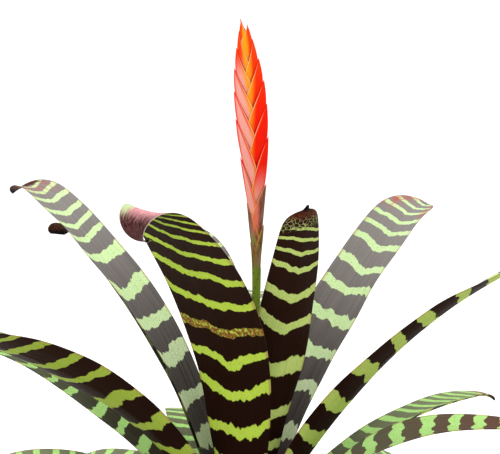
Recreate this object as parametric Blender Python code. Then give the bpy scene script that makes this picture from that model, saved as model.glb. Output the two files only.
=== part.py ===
"""Vriesea kokedama: a flaming-sword bromeliad growing from a moss ball bound with twine.

Metres, +Z up. The origin is the centre of the flat that the ball rests on. The front is -Y: the broad
face of the flower spike looks that way. A heading is an angle about +Z from +X, and a pitch is an angle
above the horizontal, both in degrees.
"""

import math
from dataclasses import dataclass

import bpy
import numpy as np

# Moss ball
BALL_RADIUS = 0.065
BALL_CENTRE_Z = 0.052
BALL_LUMP = 0.0016
NECK_RADIUS = 0.032
MOSS_THICKNESS = 0.008
MOSS_SEGMENTS = 30
MOSS_ROWS = 13
SOIL_ROWS = 8
POLE_RADIUS = 0.001
SOIL_TOP_Z = 0.1036
CLEARANCE = 0.0004

# Twine
TWINE_DIAMETER = 0.0018
TWINE_TURNS = 7
TWINE_TILT = 46.0
TWINE_POINTS_PER_TURN = 33
TWINE_CROSSING_SLOPE = 0.14
TWINE_OWN_SHARE = 0.3
TWINE_START = 200.0

# Rosette
LEAF_THICKNESS = 0.0008
LEAF_BASE_Z = 0.1045
LEAF_RING_START = 0.0080
LEAF_RING_STEP = 0.00110
SHEATH_HALF_WIDTH = 0.0115
WIDEST_WRAP = 62.0
SHEATH_END = 0.3
WAIST_AT = 0.1
LEAF_TIP_WIDTH = 0.0022
HOOK_END = 1.04
LEAF_STEPS_ALONG = 12
LEAF_STEP_CROWDING = 1.3
LEAF_STEPS_ACROSS = 4
LEAF_STEPS_FINE = 120

# Flower stem, with the bracts along it and the spike
STEM_POINTS = (
    (0.0, 0.0, 0.1044),
    (0.0030, 0.003, 0.170),
    (0.0075, 0.006, 0.250),
    (0.0094, 0.006, 0.310),
    (0.0085, 0.005, 0.376),
    (0.0050, 0.003, 0.438),
    (0.0002, 0.0, 0.4915),
)
STEM_RADII = (
    (0.1044, 0.0068),
    (0.115, 0.0052),
    (0.16, 0.0036),
    (0.25, 0.0030),
    (0.285, 0.0016),
    (0.37, 0.0014),
    (0.45, 0.0009),
    (0.4915, 0.0004),
)
SPIKE_HALF_WIDTHS = (
    (0.25, 0.0040),
    (0.30, 0.0030),
    (0.333, 0.0036),
    (0.376, 0.0072),
    (0.4215, 0.0114),
    (0.452, 0.0102),
    (0.478, 0.0058),
    (0.4925, 0.0014),
)
SPIKE_HALF_DEPTHS = (
    (0.25, 0.0040),
    (0.30, 0.0030),
    (0.333, 0.0036),
    (0.37, 0.0054),
    (0.41, 0.0056),
    (0.45, 0.0050),
    (0.48, 0.0032),
    (0.4925, 0.0014),
)
STEM_TOP_Z = 0.480
STEM_SEGMENTS = 8
STEM_END_RADIUS = 0.0001
STEM_STEPS = 22
SPIKE_YAW = -6.0
SPIKE_BRACT_TIPS_Z = (
    0.3945, 0.4095, 0.4215, 0.4325, 0.4408, 0.4490, 0.4568, 0.4643, 0.4712, 0.4774, 0.4828, 0.4874, 0.4919,
)
SPIKE_LONGEST = 0.046
SPIKE_SHORTEST = 0.022
SCAPE_BRACT_TIPS_Z = (0.296, 0.316, 0.334, 0.347, 0.3625, 0.376)
SCAPE_BRACT_LENGTH = 0.034
BRACT_THICKNESS = 0.0003
BRACT_STEPS_ALONG = 6
BRACT_HALF_STEPS_ACROSS = 3
BRACT_OPENING_SHARE = 0.50
BRACT_CLASP = -0.52
BRACT_TIP_CLOSING = 0.96
BRACT_FLARE_LENGTH = 0.0155
BRACT_LEAST_FLARE = 0.0009
KEEL_FROM_Z = 0.33
KEEL_FULL_Z = 0.39

# Colours
MOSS_GREEN = (0.10, 0.16, 0.03)
SOIL_BROWN = (0.05, 0.03, 0.02)
JUTE = (0.42, 0.28, 0.13)
LEAF_GREEN = (0.30, 0.45, 0.06)
STEM_GREEN = (0.20, 0.30, 0.05)
BRACT_BROWN = (0.20, 0.12, 0.05)
BRACT_RED = (0.85, 0.03, 0.01)


@dataclass(frozen=True)
class Leaf:
    """One strap leaf. Its headings, pitches, rolls and channel angles are set evenly from base to tip.

    The roll turns the blade about its midrib and the channel is half the angle of its cross arc. The
    hook, in degrees, bends the part after hook_from towards the outer face. The waist is a share of the
    full width, which is reached at broadest; the blade narrows after taper, later with a higher point,
    and its tip is the sharper the higher the roundness. Rings count out from the centre.
    """

    name: str
    ring: int
    heading: tuple
    pitch: tuple
    length: float
    width: float
    roll: tuple = (0.0, 0.0)
    channel: tuple = (34.0, 22.0)
    point: float = 2.3
    hook: float = 10.0
    taper: float = 0.70
    hook_from: float = 0.84
    waist: float = 0.66
    broadest: float = 0.66
    roundness: float = 0.72


LEAVES = (
    Leaf("leaf_inner", 0, (140, 136, 130), (88, 87, 82, 60), 0.245, 0.040, hook=30),
    Leaf(
        "leaf_front_right", 1, (308, 317, 320), (89, 77.3, 75.3, 81), 0.270, 0.043,
        roll=(-4, -24, -26, 6), point=20.0, hook=0, roundness=0.5,
    ),
    Leaf(
        "leaf_front", 2, (262, 254, 236, 223, 220), (86, 81, 70, 54, 46), 0.330, 0.094,
        channel=(34, 24, 6, 14), point=2.4, hook=268, taper=0.68, hook_from=0.838, waist=0.40, broadest=0.90,
        roundness=1.4,
    ),
    Leaf(
        "leaf_right_tall", 3, (38, 33, 18), (83, 64, 54, 48), 0.296, 0.065,
        roll=(0, 0, 2, 8), point=8.0, hook=55, hook_from=0.88, waist=0.55,
    ),
    Leaf(
        "leaf_left_tall", 4, (156, 152, 150), (84, 66, 45, 35), 0.338, 0.046,
        point=5.0, hook=90, hook_from=0.88,
    ),
    Leaf(
        "leaf_left_tall_behind", 5, (147, 145, 143), (82, 66, 47.5, 39), 0.293, 0.038,
        point=8.0, hook=150, hook_from=0.90,
    ),
    Leaf("leaf_back_right", 6, (88, 86, 84), (80, 58, 40, 10), 0.240, 0.045, hook=40),
    Leaf(
        "leaf_right_arching", 7, (345, 346, 350), (80, 55, 39.8, 24), 0.330, 0.035,
        roll=(0, -26, -16, 0), waist=1.1,
    ),
    Leaf(
        "leaf_back_left", 8, (134, 126, 94, 91), (76, 60, 0, -80), 0.182, 0.038,
        channel=(34, 12, 4), point=6.0,
    ),
    Leaf("leaf_left_arching", 9, (208, 206, 205), (80, 49, 28, 12), 0.320, 0.048, roll=(0, 24, 28, 0)),
    Leaf(
        "leaf_right_upper", 10, (15, 12, 10), (70, 39.5, 24.5, 1), 0.214, 0.039,
        roll=(0, 0, -3, -8), hook=70, hook_from=0.93,
    ),
    Leaf("leaf_left_lower", 11, (170, 166, 164), (66, 42, 25, -4), 0.300, 0.044),
    Leaf(
        "leaf_right_lower", 12, (339, 346, 352), (68, 42, 9, -12), 0.262, 0.035,
        roll=(-2, 0, 16, 0, -6), hook=20,
    ),
    Leaf("leaf_low_left", 13, (190, 188, 186), (60, 34, 2, -40), 0.215, 0.046, point=4.0, hook=30),
    Leaf("leaf_low_front", 14, (262, 260, 258), (54, 16, -14, -38), 0.230, 0.046, hook=30),
    Leaf("leaf_low_back_right", 15, (46, 46, 46), (52, 14, -14, -36), 0.220, 0.046, hook=30),
    Leaf("leaf_low_back_left", 16, (136, 138, 140), (52, 14, -14, -36), 0.220, 0.046, hook=30),
    Leaf("leaf_low_front_right", 17, (312, 312, 312), (52, 16, -14, -36), 0.235, 0.046, hook=30),
    Leaf("leaf_low_back", 18, (90, 92, 94), (56, 14, -16, -38), 0.220, 0.046, hook=30),
)


def clear_scene():
    """Removes what the file opened with."""
    for leftover in list(bpy.data.objects):
        bpy.data.objects.remove(leftover)


def material(name, colour, roughness, metallic=0.0):
    """A plain Principled material."""
    made = bpy.data.materials.new(name)
    made.use_nodes = True
    shader = made.node_tree.nodes["Principled BSDF"]
    shader.inputs["Base Color"].default_value = (*colour, 1.0)
    shader.inputs["Roughness"].default_value = roughness
    shader.inputs["Metallic"].default_value = metallic
    return made


def add_object(name, data, finish, parent=None):
    """Links a mesh or a curve as a named object with its material."""
    made = bpy.data.objects.new(name, data)
    data.materials.append(finish)
    bpy.context.collection.objects.link(made)
    made.parent = parent
    return made


def mesh_of(name, points, faces, smooth_angle=50.0):
    """A mesh from points and faces, shaded smooth where the faces meet gently."""
    mesh = bpy.data.meshes.new(name)
    mesh.from_pydata([tuple(point) for point in points], [], faces)
    mesh.validate()
    mesh.shade_smooth()
    mesh.set_sharp_from_angle(angle=math.radians(smooth_angle))
    return mesh


def eased(stations, values, where):
    """A smooth curve through the values: a cubic on each span, with slopes from the neighbours."""
    stations = np.asarray(stations, float)
    values = np.asarray(values, float)
    flat = values.ndim == 1
    rows = values[:, None] if flat else values
    where = np.clip(np.asarray(where, float), stations[0], stations[-1])
    slopes = np.gradient(rows, stations, axis=0)
    span = np.clip(np.searchsorted(stations, where, side="right") - 1, 0, len(stations) - 2)
    width = (stations[span + 1] - stations[span])[..., None]
    t = (where - stations[span])[..., None] / width
    found = (
        (1 + 2 * t) * (1 - t) ** 2 * rows[span]
        + t * (1 - t) ** 2 * width * slopes[span]
        + t * t * (3 - 2 * t) * rows[span + 1]
        + t * t * (t - 1) * width * slopes[span + 1]
    )
    return found[..., 0] if flat else found


def evenly(values, where):
    """The smooth curve through values set evenly along 0 to 1."""
    return eased(np.linspace(0, 1, len(values)), values, where)


def ramp(low, high, where):
    """0 below low, 1 above high, and a smooth step between."""
    t = np.clip((where - low) / (high - low), 0, 1)
    return t * t * (3 - 2 * t)


# ---------------------------------------------------------------- moss ball


def moss_radius(polar, around):
    """Distance from the ball's centre to the moss, which is gently lumpy and round at the poles."""
    lumps = (
        np.sin(3 * around + 1.1) * np.sin(2 * polar)
        + 0.7 * np.cos(5 * around - 2 * polar)
        + 0.5 * np.sin(7 * around + 4 * polar)
    )
    return BALL_RADIUS + BALL_LUMP * lumps * np.sin(polar) ** 2


def ball_point(polar, around, inset=0.0):
    """A point at that polar angle from straight up, inset below the moss, in the ball's own frame."""
    distance = moss_radius(polar, around) - inset
    return np.stack(
        [
            distance * np.sin(polar) * np.cos(around),
            distance * np.sin(polar) * np.sin(around),
            BALL_CENTRE_Z + distance * np.cos(polar),
        ],
        axis=-1,
    )


def turned_solid(name, rows):
    """A closed mesh from rings of points. The first and last rings are each shrunk to one point."""
    around = len(rows[0])
    points = [rows[0].mean(0)]
    for ring in rows[1:-1]:
        points.extend(ring)
    points.append(rows[-1].mean(0))
    last = len(points) - 1
    rings = len(rows) - 2
    faces = []
    for k in range(around):
        after = (k + 1) % around
        faces.append((0, 1 + after, 1 + k))
        top = 1 + (rings - 1) * around
        faces.append((last, top + k, top + after))
        for row in range(rings - 1):
            low = 1 + row * around
            faces.append((low + k, low + after, low + around + after, low + around + k))
    return mesh_of(name, points, faces)


def ball_rings(inset, first_polar, last_polar, count, floor_z):
    """Rings from one polar angle to another, flattened onto floor_z where the ball would pass it."""
    around = np.linspace(0, 2 * math.pi, MOSS_SEGMENTS, endpoint=False)
    rings = []
    for polar in np.linspace(first_polar, last_polar, count):
        ring = ball_point(np.full_like(around, polar), around, inset)
        ring[:, 2] = np.maximum(ring[:, 2], floor_z)
        rings.append(ring)
    return rings


def flat_ring(radius, height):
    """A level ring of points about the axis."""
    around = np.linspace(0, 2 * math.pi, MOSS_SEGMENTS, endpoint=False)
    return np.stack([radius * np.cos(around), radius * np.sin(around), np.full_like(around, height)], -1)


def build_moss(finish):
    """The moss cover: a shell with a flat to rest on and a neck that the rosette comes out of."""
    neck = math.asin(NECK_RADIUS / BALL_RADIUS)
    flat_edge = math.acos(-BALL_CENTRE_Z / (BALL_RADIUS - BALL_LUMP))
    inner_radius = BALL_RADIUS - MOSS_THICKNESS
    inner_neck = math.asin(NECK_RADIUS / inner_radius)
    inner_edge = math.acos(-(BALL_CENTRE_Z - MOSS_THICKNESS) / (inner_radius - BALL_LUMP))
    outside = ball_rings(0.0, flat_edge, neck, MOSS_ROWS, 0.0)
    inside = ball_rings(MOSS_THICKNESS, inner_neck, inner_edge, MOSS_ROWS - 4, MOSS_THICKNESS)
    middle = [flat_ring(POLE_RADIUS, 0.0)]
    end = [flat_ring(POLE_RADIUS, MOSS_THICKNESS)]
    return add_object("moss_cover", turned_solid("moss_cover", middle + outside + inside + end), finish)


def build_soil(finish):
    """The ball of soil and roots inside the moss, with a level top under the rosette."""
    inset = MOSS_THICKNESS + 2 * CLEARANCE
    radius = BALL_RADIUS - inset
    floor_z = MOSS_THICKNESS + 2 * CLEARANCE
    neck = math.asin((NECK_RADIUS - 2 * CLEARANCE) / radius)
    edge = math.acos(-(BALL_CENTRE_Z - floor_z) / (radius - BALL_LUMP))
    rings = ball_rings(inset, edge, neck, SOIL_ROWS, floor_z)
    rings.append(flat_ring(NECK_RADIUS - 2 * CLEARANCE, SOIL_TOP_Z))
    bottom = [flat_ring(POLE_RADIUS, floor_z)]
    top = [flat_ring(POLE_RADIUS, SOIL_TOP_Z)]
    return add_object("soil_ball", turned_solid("soil_ball", bottom + rings + top), finish)


# ---------------------------------------------------------------- twine


def twine_directions():
    """Where the winding points from the ball's centre: a tilted turn whose plane moves round the ball."""
    turn = np.linspace(0, TWINE_TURNS, TWINE_TURNS * TWINE_POINTS_PER_TURN + 1)[:-2]
    angle = 2 * math.pi * turn
    tilt = math.radians(TWINE_TILT)
    swing = math.radians(TWINE_START) + angle / TWINE_TURNS
    x, y, z = np.cos(angle), np.sin(angle) * math.cos(tilt), np.sin(angle) * math.sin(tilt)
    polar = np.arccos(np.clip(z, -1, 1))
    around = np.arctan2(y, x) + swing
    return turn, polar, around


def twine_lift(turn, points):
    """How far each point is raised to pass over the turns that were laid before it.

    Points less than TWINE_OWN_SHARE of a turn apart belong to the same run. The second loop eases each
    rise and fall along the twine.
    """
    step = TWINE_DIAMETER + CLEARANCE
    lift = np.zeros(len(turn))
    along = turn * 2 * math.pi * BALL_RADIUS
    for k in range(len(turn)):
        before = np.flatnonzero(turn < turn[k] - TWINE_OWN_SHARE)
        if len(before):
            apart = np.linalg.norm(points[before] - points[k], axis=1)
            over = lift[before] + step - TWINE_CROSSING_SLOPE * np.maximum(apart - step, 0)
            lift[k] = max(0.0, over.max())
    for k in range(len(turn)):
        near = np.flatnonzero(np.abs(turn - turn[k]) < TWINE_OWN_SHARE)
        reach = lift[near] - TWINE_CROSSING_SLOPE * np.abs(along[near] - along[k])
        lift[k] = max(lift[k], reach.max())
    return lift


def build_twine(finish):
    """One length of twine wound round the ball seven times, each turn passing over the ones before."""
    turn, polar, around = twine_directions()
    clear = TWINE_DIAMETER / 2 + CLEARANCE
    points = ball_point(polar, around, -clear)
    lift = twine_lift(turn, points)
    points = ball_point(polar, around, -(clear + lift))
    curve = bpy.data.curves.new("binding_twine", "CURVE")
    curve.dimensions = "3D"
    curve.bevel_depth = TWINE_DIAMETER / 2
    curve.bevel_resolution = 1
    curve.use_fill_caps = True
    spline = curve.splines.new("POLY")
    spline.points.add(len(points) - 1)
    for point, place in zip(spline.points, points):
        point.co = (*place, 1.0)
    return add_object("binding_twine", curve, finish)


# ---------------------------------------------------------------- leaves


def sheath_wrap(base_radius):
    """Half the angle, in radians, that a leaf's base takes round the stem."""
    return min(math.radians(WIDEST_WRAP), SHEATH_HALF_WIDTH / base_radius)


def leaf_half_width(leaf, s, base_radius):
    """Half the leaf's width: a clasping base, a narrower waist, a broad upper blade, a rounded tip."""
    sheath = base_radius * sheath_wrap(base_radius)
    blade = leaf.width / 2 * (leaf.waist + (1 - leaf.waist) * ramp(WAIST_AT, leaf.broadest, s))
    body = sheath + (blade - sheath) * ramp(0.0, SHEATH_END, s)
    taper = np.clip((s - leaf.taper) / (1 - leaf.taper), 0, 1)
    return np.maximum(body * (1 - taper**leaf.point) ** leaf.roundness, LEAF_TIP_WIDTH / 2)


def leaf_frames(leaf, s, base_radius):
    """Midrib points with the forward, sideways and inner directions, from headings and pitches."""
    heading = np.radians(evenly(leaf.heading, s))
    pitch = np.radians(evenly(leaf.pitch, s))
    forward = np.stack(
        [np.cos(pitch) * np.cos(heading), np.cos(pitch) * np.sin(heading), np.sin(pitch)], -1
    )
    inner = np.stack(
        [-np.sin(pitch) * np.cos(heading), -np.sin(pitch) * np.sin(heading), np.cos(pitch)], -1
    )
    side = np.cross(inner, forward)
    roll = np.radians(evenly(leaf.roll, s))[:, None]
    side, inner = side * np.cos(roll) + inner * np.sin(roll), inner * np.cos(roll) - side * np.sin(roll)
    hook = np.radians(leaf.hook * ramp(leaf.hook_from, HOOK_END, s))[:, None]
    forward, inner = (
        forward * np.cos(hook) - inner * np.sin(hook),
        inner * np.cos(hook) + forward * np.sin(hook),
    )
    steps = np.diff(s)[:, None] * leaf.length * (forward[1:] + forward[:-1]) / 2
    out = np.array([math.cos(heading[0]), math.sin(heading[0]), 0.0])
    start = base_radius * out + np.array([0.0, 0.0, LEAF_BASE_Z])
    midrib = start + np.vstack([np.zeros(3), np.cumsum(steps, axis=0)])
    return midrib, forward, side, inner


def leaf_grid(leaf, steps_along, steps_across):
    """The leaf's middle surface: its midrib carries an arc that is concentric with the stem at the base.

    The steps along it get shorter towards the tip.
    """
    base_radius = LEAF_RING_START + LEAF_RING_STEP * leaf.ring
    fine = np.linspace(0, 1, LEAF_STEPS_FINE + 1)
    midrib, _, side, inner = leaf_frames(leaf, fine, base_radius)
    wanted = 1 - np.linspace(1, 0, steps_along + 1) ** LEAF_STEP_CROWDING
    midrib, side, inner = (eased(fine, v, wanted) for v in (midrib, side, inner))
    half = leaf_half_width(leaf, wanted, base_radius)
    wrap = sheath_wrap(base_radius)
    channel = np.radians(evenly(leaf.channel, wanted))
    cup = (wrap + (channel - wrap) * ramp(0.0, SHEATH_END, wanted))[:, None]
    across = np.linspace(-1, 1, steps_across + 1)[None, :]
    arc = half[:, None] / cup
    sideways = arc * np.sin(cup * across)
    rise = arc * (1 - np.cos(cup * across))
    return midrib[:, None] + side[:, None] * sideways[..., None] + inner[:, None] * rise[..., None]


def grid_faces(rows, columns):
    """Faces of a grid of points, rows by columns."""
    return [
        (r * columns + c, r * columns + c + 1, (r + 1) * columns + c + 1, (r + 1) * columns + c)
        for r in range(rows - 1)
        for c in range(columns - 1)
    ]


def add_blade(name, grid, thickness, offset, finish, parent):
    """A thin solid blade: a grid of points given its thickness."""
    rows, columns = grid.shape[:2]
    mesh = mesh_of(name, grid.reshape(-1, 3), grid_faces(rows, columns))
    blade = add_object(name, mesh, finish, parent)
    solid = blade.modifiers.new("thickness", "SOLIDIFY")
    solid.thickness = thickness
    solid.offset = offset
    return blade


def build_leaves(finish, parent):
    """Every leaf of the rosette."""
    for leaf in LEAVES:
        grid = leaf_grid(leaf, LEAF_STEPS_ALONG, LEAF_STEPS_ACROSS)
        add_blade(leaf.name, grid, LEAF_THICKNESS, 0.0, finish, parent)


# ---------------------------------------------------------------- flower stem, scape bracts and spike


def stem_axis(height):
    """The stem's centre line at these heights."""
    points = np.array(STEM_POINTS)
    return eased(points[:, 2], points, height)


def by_height(table, height):
    """The smooth curve through a table's pairs of height and value."""
    heights, values = zip(*table)
    return eased(heights, values, height)


def bract_grid(base_z, tip_z, side):
    """A boat-shaped bract on the right, side +1, or the left, side -1, of the stem.

    Its ring grows from the stem out to the spike's outline on the way up, sooner in a longer bract, so a
    lower bract is always outside a higher one. Its margins clasp the stem up to the opening and come
    together on the keel at the tip. The ring is round on the stem and an edged lens in the spike.
    """
    h = np.linspace(0, 1, BRACT_STEPS_ALONG + 1)
    height = base_z + (tip_z - base_z) * h
    grown = 1 - (1 - h) ** ((tip_z - base_z) / BRACT_FLARE_LENGTH)
    inner = by_height(STEM_RADII, height) + 2 * CLEARANCE
    wide = inner + np.maximum(by_height(SPIKE_HALF_WIDTHS, height) - inner, BRACT_LEAST_FLARE) * grown
    deep = inner + np.maximum(by_height(SPIKE_HALF_DEPTHS, height) - inner, BRACT_LEAST_FLARE) * grown
    opening = BRACT_OPENING_SHARE * (tip_z - base_z)
    reach = np.arccos(np.clip(1 - (tip_z - height) / opening, BRACT_CLASP, BRACT_TIP_CLOSING))
    angle = reach[:, None] * np.linspace(-1, 1, 2 * BRACT_HALF_STEPS_ACROSS + 1)
    keel = ramp(KEEL_FROM_Z, KEEL_FULL_Z, height)[:, None]
    profile = (1 - np.abs(np.cos(angle)) ** (2 - 0.5 * keel)) ** (0.5 + 0.5 * keel)
    x = side * wide[:, None] * np.cos(angle)
    y = side * deep[:, None] * np.sign(angle) * profile
    yaw = math.radians(SPIKE_YAW)
    grid = np.repeat(stem_axis(height)[:, None, :], angle.shape[1], axis=1)
    grid[..., 0] += x * math.cos(yaw) - y * math.sin(yaw)
    grid[..., 1] += x * math.sin(yaw) + y * math.cos(yaw)
    return grid


def build_stem(finish, parent):
    """The short stem, the scape and the spike's axis in one tapering piece."""
    heights = np.linspace(STEM_POINTS[0][2], STEM_TOP_Z, STEM_STEPS)
    centres = stem_axis(heights)
    radii = by_height(STEM_RADII, heights)
    around = np.linspace(0, 2 * math.pi, STEM_SEGMENTS, endpoint=False)
    ring = np.stack([np.cos(around), np.sin(around), np.zeros_like(around)], -1)
    rows = [centre + ring * radius for centre, radius in zip(centres, radii)]
    bottom, top = ([centre + ring * STEM_END_RADIUS] for centre in (centres[0], centres[-1]))
    return add_object("flower_stem", turned_solid("flower_stem", bottom + rows + top), finish, parent)


def build_scape_bracts(finish, parent):
    """The small bracts along the stem, lowest first, on alternate sides."""
    for k, tip in enumerate(SCAPE_BRACT_TIPS_Z):
        grid = bract_grid(tip - SCAPE_BRACT_LENGTH, tip, (-1, 1)[k % 2])
        add_blade(f"scape_bract_{k + 1:02d}", grid, BRACT_THICKNESS, -1.0, finish, parent)


def build_spike(finish, parent):
    """The two rows of red bracts, lowest first, closer together and shorter towards the top."""
    lengths = np.linspace(SPIKE_LONGEST, SPIKE_SHORTEST, len(SPIKE_BRACT_TIPS_Z))
    for k, (tip, length) in enumerate(zip(SPIKE_BRACT_TIPS_Z, lengths)):
        grid = bract_grid(tip - length, tip, (-1, 1)[k % 2])
        add_blade(f"spike_bract_{k + 1:02d}", grid, BRACT_THICKNESS, -1.0, finish, parent)


def main():
    """Builds every piece."""
    clear_scene()
    moss = material("moss", MOSS_GREEN, 0.95)
    soil = material("soil", SOIL_BROWN, 0.95)
    twine = material("twine", JUTE, 0.85)
    leaf = material("leaf", LEAF_GREEN, 0.4)
    stem = material("stem", STEM_GREEN, 0.5)
    scape = material("scape_bract", BRACT_BROWN, 0.5)
    bract = material("bract", BRACT_RED, 0.4)
    build_moss(moss)
    build_soil(soil)
    build_twine(twine)
    plant = bpy.data.objects.new("plant", None)
    bpy.context.collection.objects.link(plant)
    build_leaves(leaf, plant)
    build_stem(stem, plant)
    build_scape_bracts(scape, plant)
    build_spike(bract, plant)


main()
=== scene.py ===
"""The looks of a vriesea kokedama: banded strap leaves, a red flower spike and a moss ball in jute twine.

Metres, +Z up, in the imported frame. Every new surface is a function of two parameters, worked out with
numpy as whole arrays. Headings are angles about +Z from +X and pitches are angles above the horizontal.
"""

import logging
import math
from collections.abc import Callable, Sequence
from dataclasses import dataclass, field, replace
from enum import Enum
from functools import partial, reduce

import bpy
import numpy as np
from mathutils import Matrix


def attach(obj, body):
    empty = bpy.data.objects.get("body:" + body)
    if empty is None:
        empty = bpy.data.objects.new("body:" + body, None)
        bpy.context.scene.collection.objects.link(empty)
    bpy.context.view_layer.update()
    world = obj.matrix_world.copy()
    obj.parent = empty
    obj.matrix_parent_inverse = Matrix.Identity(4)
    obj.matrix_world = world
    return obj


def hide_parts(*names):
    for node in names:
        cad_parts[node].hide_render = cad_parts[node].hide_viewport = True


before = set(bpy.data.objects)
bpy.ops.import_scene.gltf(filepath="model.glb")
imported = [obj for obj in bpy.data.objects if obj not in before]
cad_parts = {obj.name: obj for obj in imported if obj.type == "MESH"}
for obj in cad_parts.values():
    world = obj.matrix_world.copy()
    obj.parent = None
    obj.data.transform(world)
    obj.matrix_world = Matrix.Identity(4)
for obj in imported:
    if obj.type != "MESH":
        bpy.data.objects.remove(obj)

LOG = logging.getLogger("kokedama")
BODY = "root"
MILLIMETRE = 0.001
FULL_TURN = 2 * math.pi
SHORTEST = 1e-12
WHITE = (1.0, 1.0, 1.0)
SEEING_RAYS = ("Camera", "Glossy", "Transmission")
WAVE_SPREAD = (0.7, 1.5)

Triple = tuple[float, float, float]
Colour = Triple
Span = tuple[float, float]
Pairs = tuple[tuple[float, float], ...]
Socket = bpy.types.NodeSocket
Feed = Socket | float | Sequence[float]


# ---------------------------------------------------------------- curves and fields


def eased(stations: Sequence[float], values: Sequence, where: np.ndarray) -> np.ndarray:
    """A smooth curve through the values: a cubic on each span, with slopes from the neighbours.

    Args:
        stations: increasing places of the values.
        values: one number or one row of numbers for each station.
        where: the places wanted, held between the first and the last station.

    Returns:
        One number or row for each place wanted.
    """
    stations = np.asarray(stations, float)
    values = np.asarray(values, float)
    flat = values.ndim == 1
    rows = values[:, None] if flat else values
    where = np.clip(np.asarray(where, float), stations[0], stations[-1])
    slopes = np.gradient(rows, stations, axis=0)
    span = np.clip(np.searchsorted(stations, where, side="right") - 1, 0, len(stations) - 2)
    width = (stations[span + 1] - stations[span])[..., None]
    t = (where - stations[span])[..., None] / width
    found = (
        (1 + 2 * t) * (1 - t) ** 2 * rows[span]
        + t * (1 - t) ** 2 * width * slopes[span]
        + t * t * (3 - 2 * t) * rows[span + 1]
        + t * t * (t - 1) * width * slopes[span + 1]
    )
    return found[..., 0] if flat else found


def evenly(values: Sequence[float], where: np.ndarray) -> np.ndarray:
    """The smooth curve through values set evenly along 0 to 1."""
    return eased(np.linspace(0, 1, len(values)), values, where)


def by_height(table: Pairs, height: np.ndarray) -> np.ndarray:
    """The smooth curve through a table's pairs of height and value."""
    heights, values = zip(*table)
    return eased(heights, values, height)


def ramp(low: float, high: float, where: np.ndarray) -> np.ndarray:
    """0 below low, 1 above high, and a smooth step between."""
    t = np.clip((where - low) / (high - low), 0, 1)
    return t * t * (3 - 2 * t)


def unit(vectors: np.ndarray) -> np.ndarray:
    """Vectors along the last axis, brought to length 1."""
    return vectors / np.maximum(np.linalg.norm(vectors, axis=-1, keepdims=True), SHORTEST)


def stacked(*grids: np.ndarray | float) -> np.ndarray:
    """Grids brought to one shape and set side by side along a new last axis."""
    return np.stack(np.broadcast_arrays(*grids), -1)


def ripple(places: np.ndarray, wavelength: float, seed: int, waves: int = 14) -> np.ndarray:
    """A smooth random field of about -1 to 1: a sum of plane waves in seeded directions.

    Args:
        places: points along the last axis, in any number of dimensions.
        wavelength: the middle length of the waves, in the places' own unit.
        seed: which field.
        waves: how many waves are added.

    Returns:
        One number for each place.
    """
    rng = np.random.default_rng(seed)
    directions = unit(rng.normal(size=(waves, places.shape[-1])))
    lengths = wavelength * rng.uniform(*WAVE_SPREAD, waves)
    starts = rng.uniform(0, FULL_TURN, waves)
    turns = places @ (FULL_TURN * directions / lengths[:, None]).T + starts
    return np.sin(turns).sum(-1) / math.sqrt(2 * waves)


# ---------------------------------------------------------------- meshes


@dataclass
class Shape:
    """Points, faces and point values of a mesh that isn't made yet.

    Args:
        points: n rows of x, y, z.
        faces: arrays of point numbers, with 3 or 4 in each row.
        values: named numbers or vectors, one for each point, that a finish reads.
    """

    points: np.ndarray
    faces: list[np.ndarray]
    values: dict[str, np.ndarray] = field(default_factory=dict)

    def volume(self) -> float:
        """The signed volume: the sum, over a fan in each face, of a corner on the cross of the others.

        Returns:
            The volume, which is negative where the faces point inwards.
        """
        total = 0.0
        for rows in self.faces:
            a = self.points[rows[:, 0]]
            for k in range(1, rows.shape[1] - 1):
                b, c = self.points[rows[:, k]], self.points[rows[:, k + 1]]
                total += float(np.einsum("ij,ij->", a, np.cross(b, c))) / 6
        return total

    def outward(self) -> "Shape":
        """Turns the faces round if they point inwards.

        Returns:
            The same shape.
        """
        if self.volume() < 0:
            self.faces = [rows[:, ::-1] for rows in self.faces]
        return self

    @staticmethod
    def joined(shapes: Sequence["Shape"]) -> "Shape":
        """Several shapes in one.

        Args:
            shapes: the shapes, with the same point values.

        Returns:
            One shape.
        """
        offsets = np.cumsum([0] + [len(shape.points) for shape in shapes])
        faces = [rows + start for shape, start in zip(shapes, offsets) for rows in shape.faces]
        names = shapes[0].values
        values = {name: np.concatenate([shape.values[name] for shape in shapes]) for name in names}
        return Shape(np.concatenate([shape.points for shape in shapes]), faces, values)

    def piece(self, name: str, finish: bpy.types.Material, slot: str, *nodes: str) -> bpy.types.Object:
        """Makes the mesh an object that rides on the frame.

        Args:
            name: the piece's name.
            finish: its material.
            slot: the name of a record's material slot, which is not used.
            nodes: the frame's nodes that it replaces.

        Returns:
            The new object, at the origin, with its place in its mesh.
        """
        self.outward()
        corners = np.concatenate([rows.ravel() for rows in self.faces])
        counts = np.concatenate([np.full(len(rows), rows.shape[1]) for rows in self.faces])
        mesh = bpy.data.meshes.new(name)
        mesh.vertices.add(len(self.points))
        mesh.vertices.foreach_set("co", self.points.astype(np.float32).ravel())
        mesh.loops.add(len(corners))
        mesh.loops.foreach_set("vertex_index", corners.astype(np.int32))
        mesh.polygons.add(len(counts))
        mesh.polygons.foreach_set("loop_start", (np.cumsum(counts) - counts).astype(np.int32))
        for key, value in self.values.items():
            vector = value.ndim == 2
            layer = mesh.attributes.new(key, "FLOAT_VECTOR" if vector else "FLOAT", "POINT")
            layer.data.foreach_set("vector" if vector else "value", value.astype(np.float32).ravel())
        mesh.update(calc_edges=True)
        mesh.validate()
        mesh.shade_smooth()
        mesh.materials.append(finish)
        made = bpy.data.objects.new(name, mesh)
        bpy.context.scene.collection.objects.link(made)
        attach(made, BODY)
        if nodes:
            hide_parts(*nodes)
        LOG.info("%s: %d faces", name, len(counts))
        return made


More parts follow.
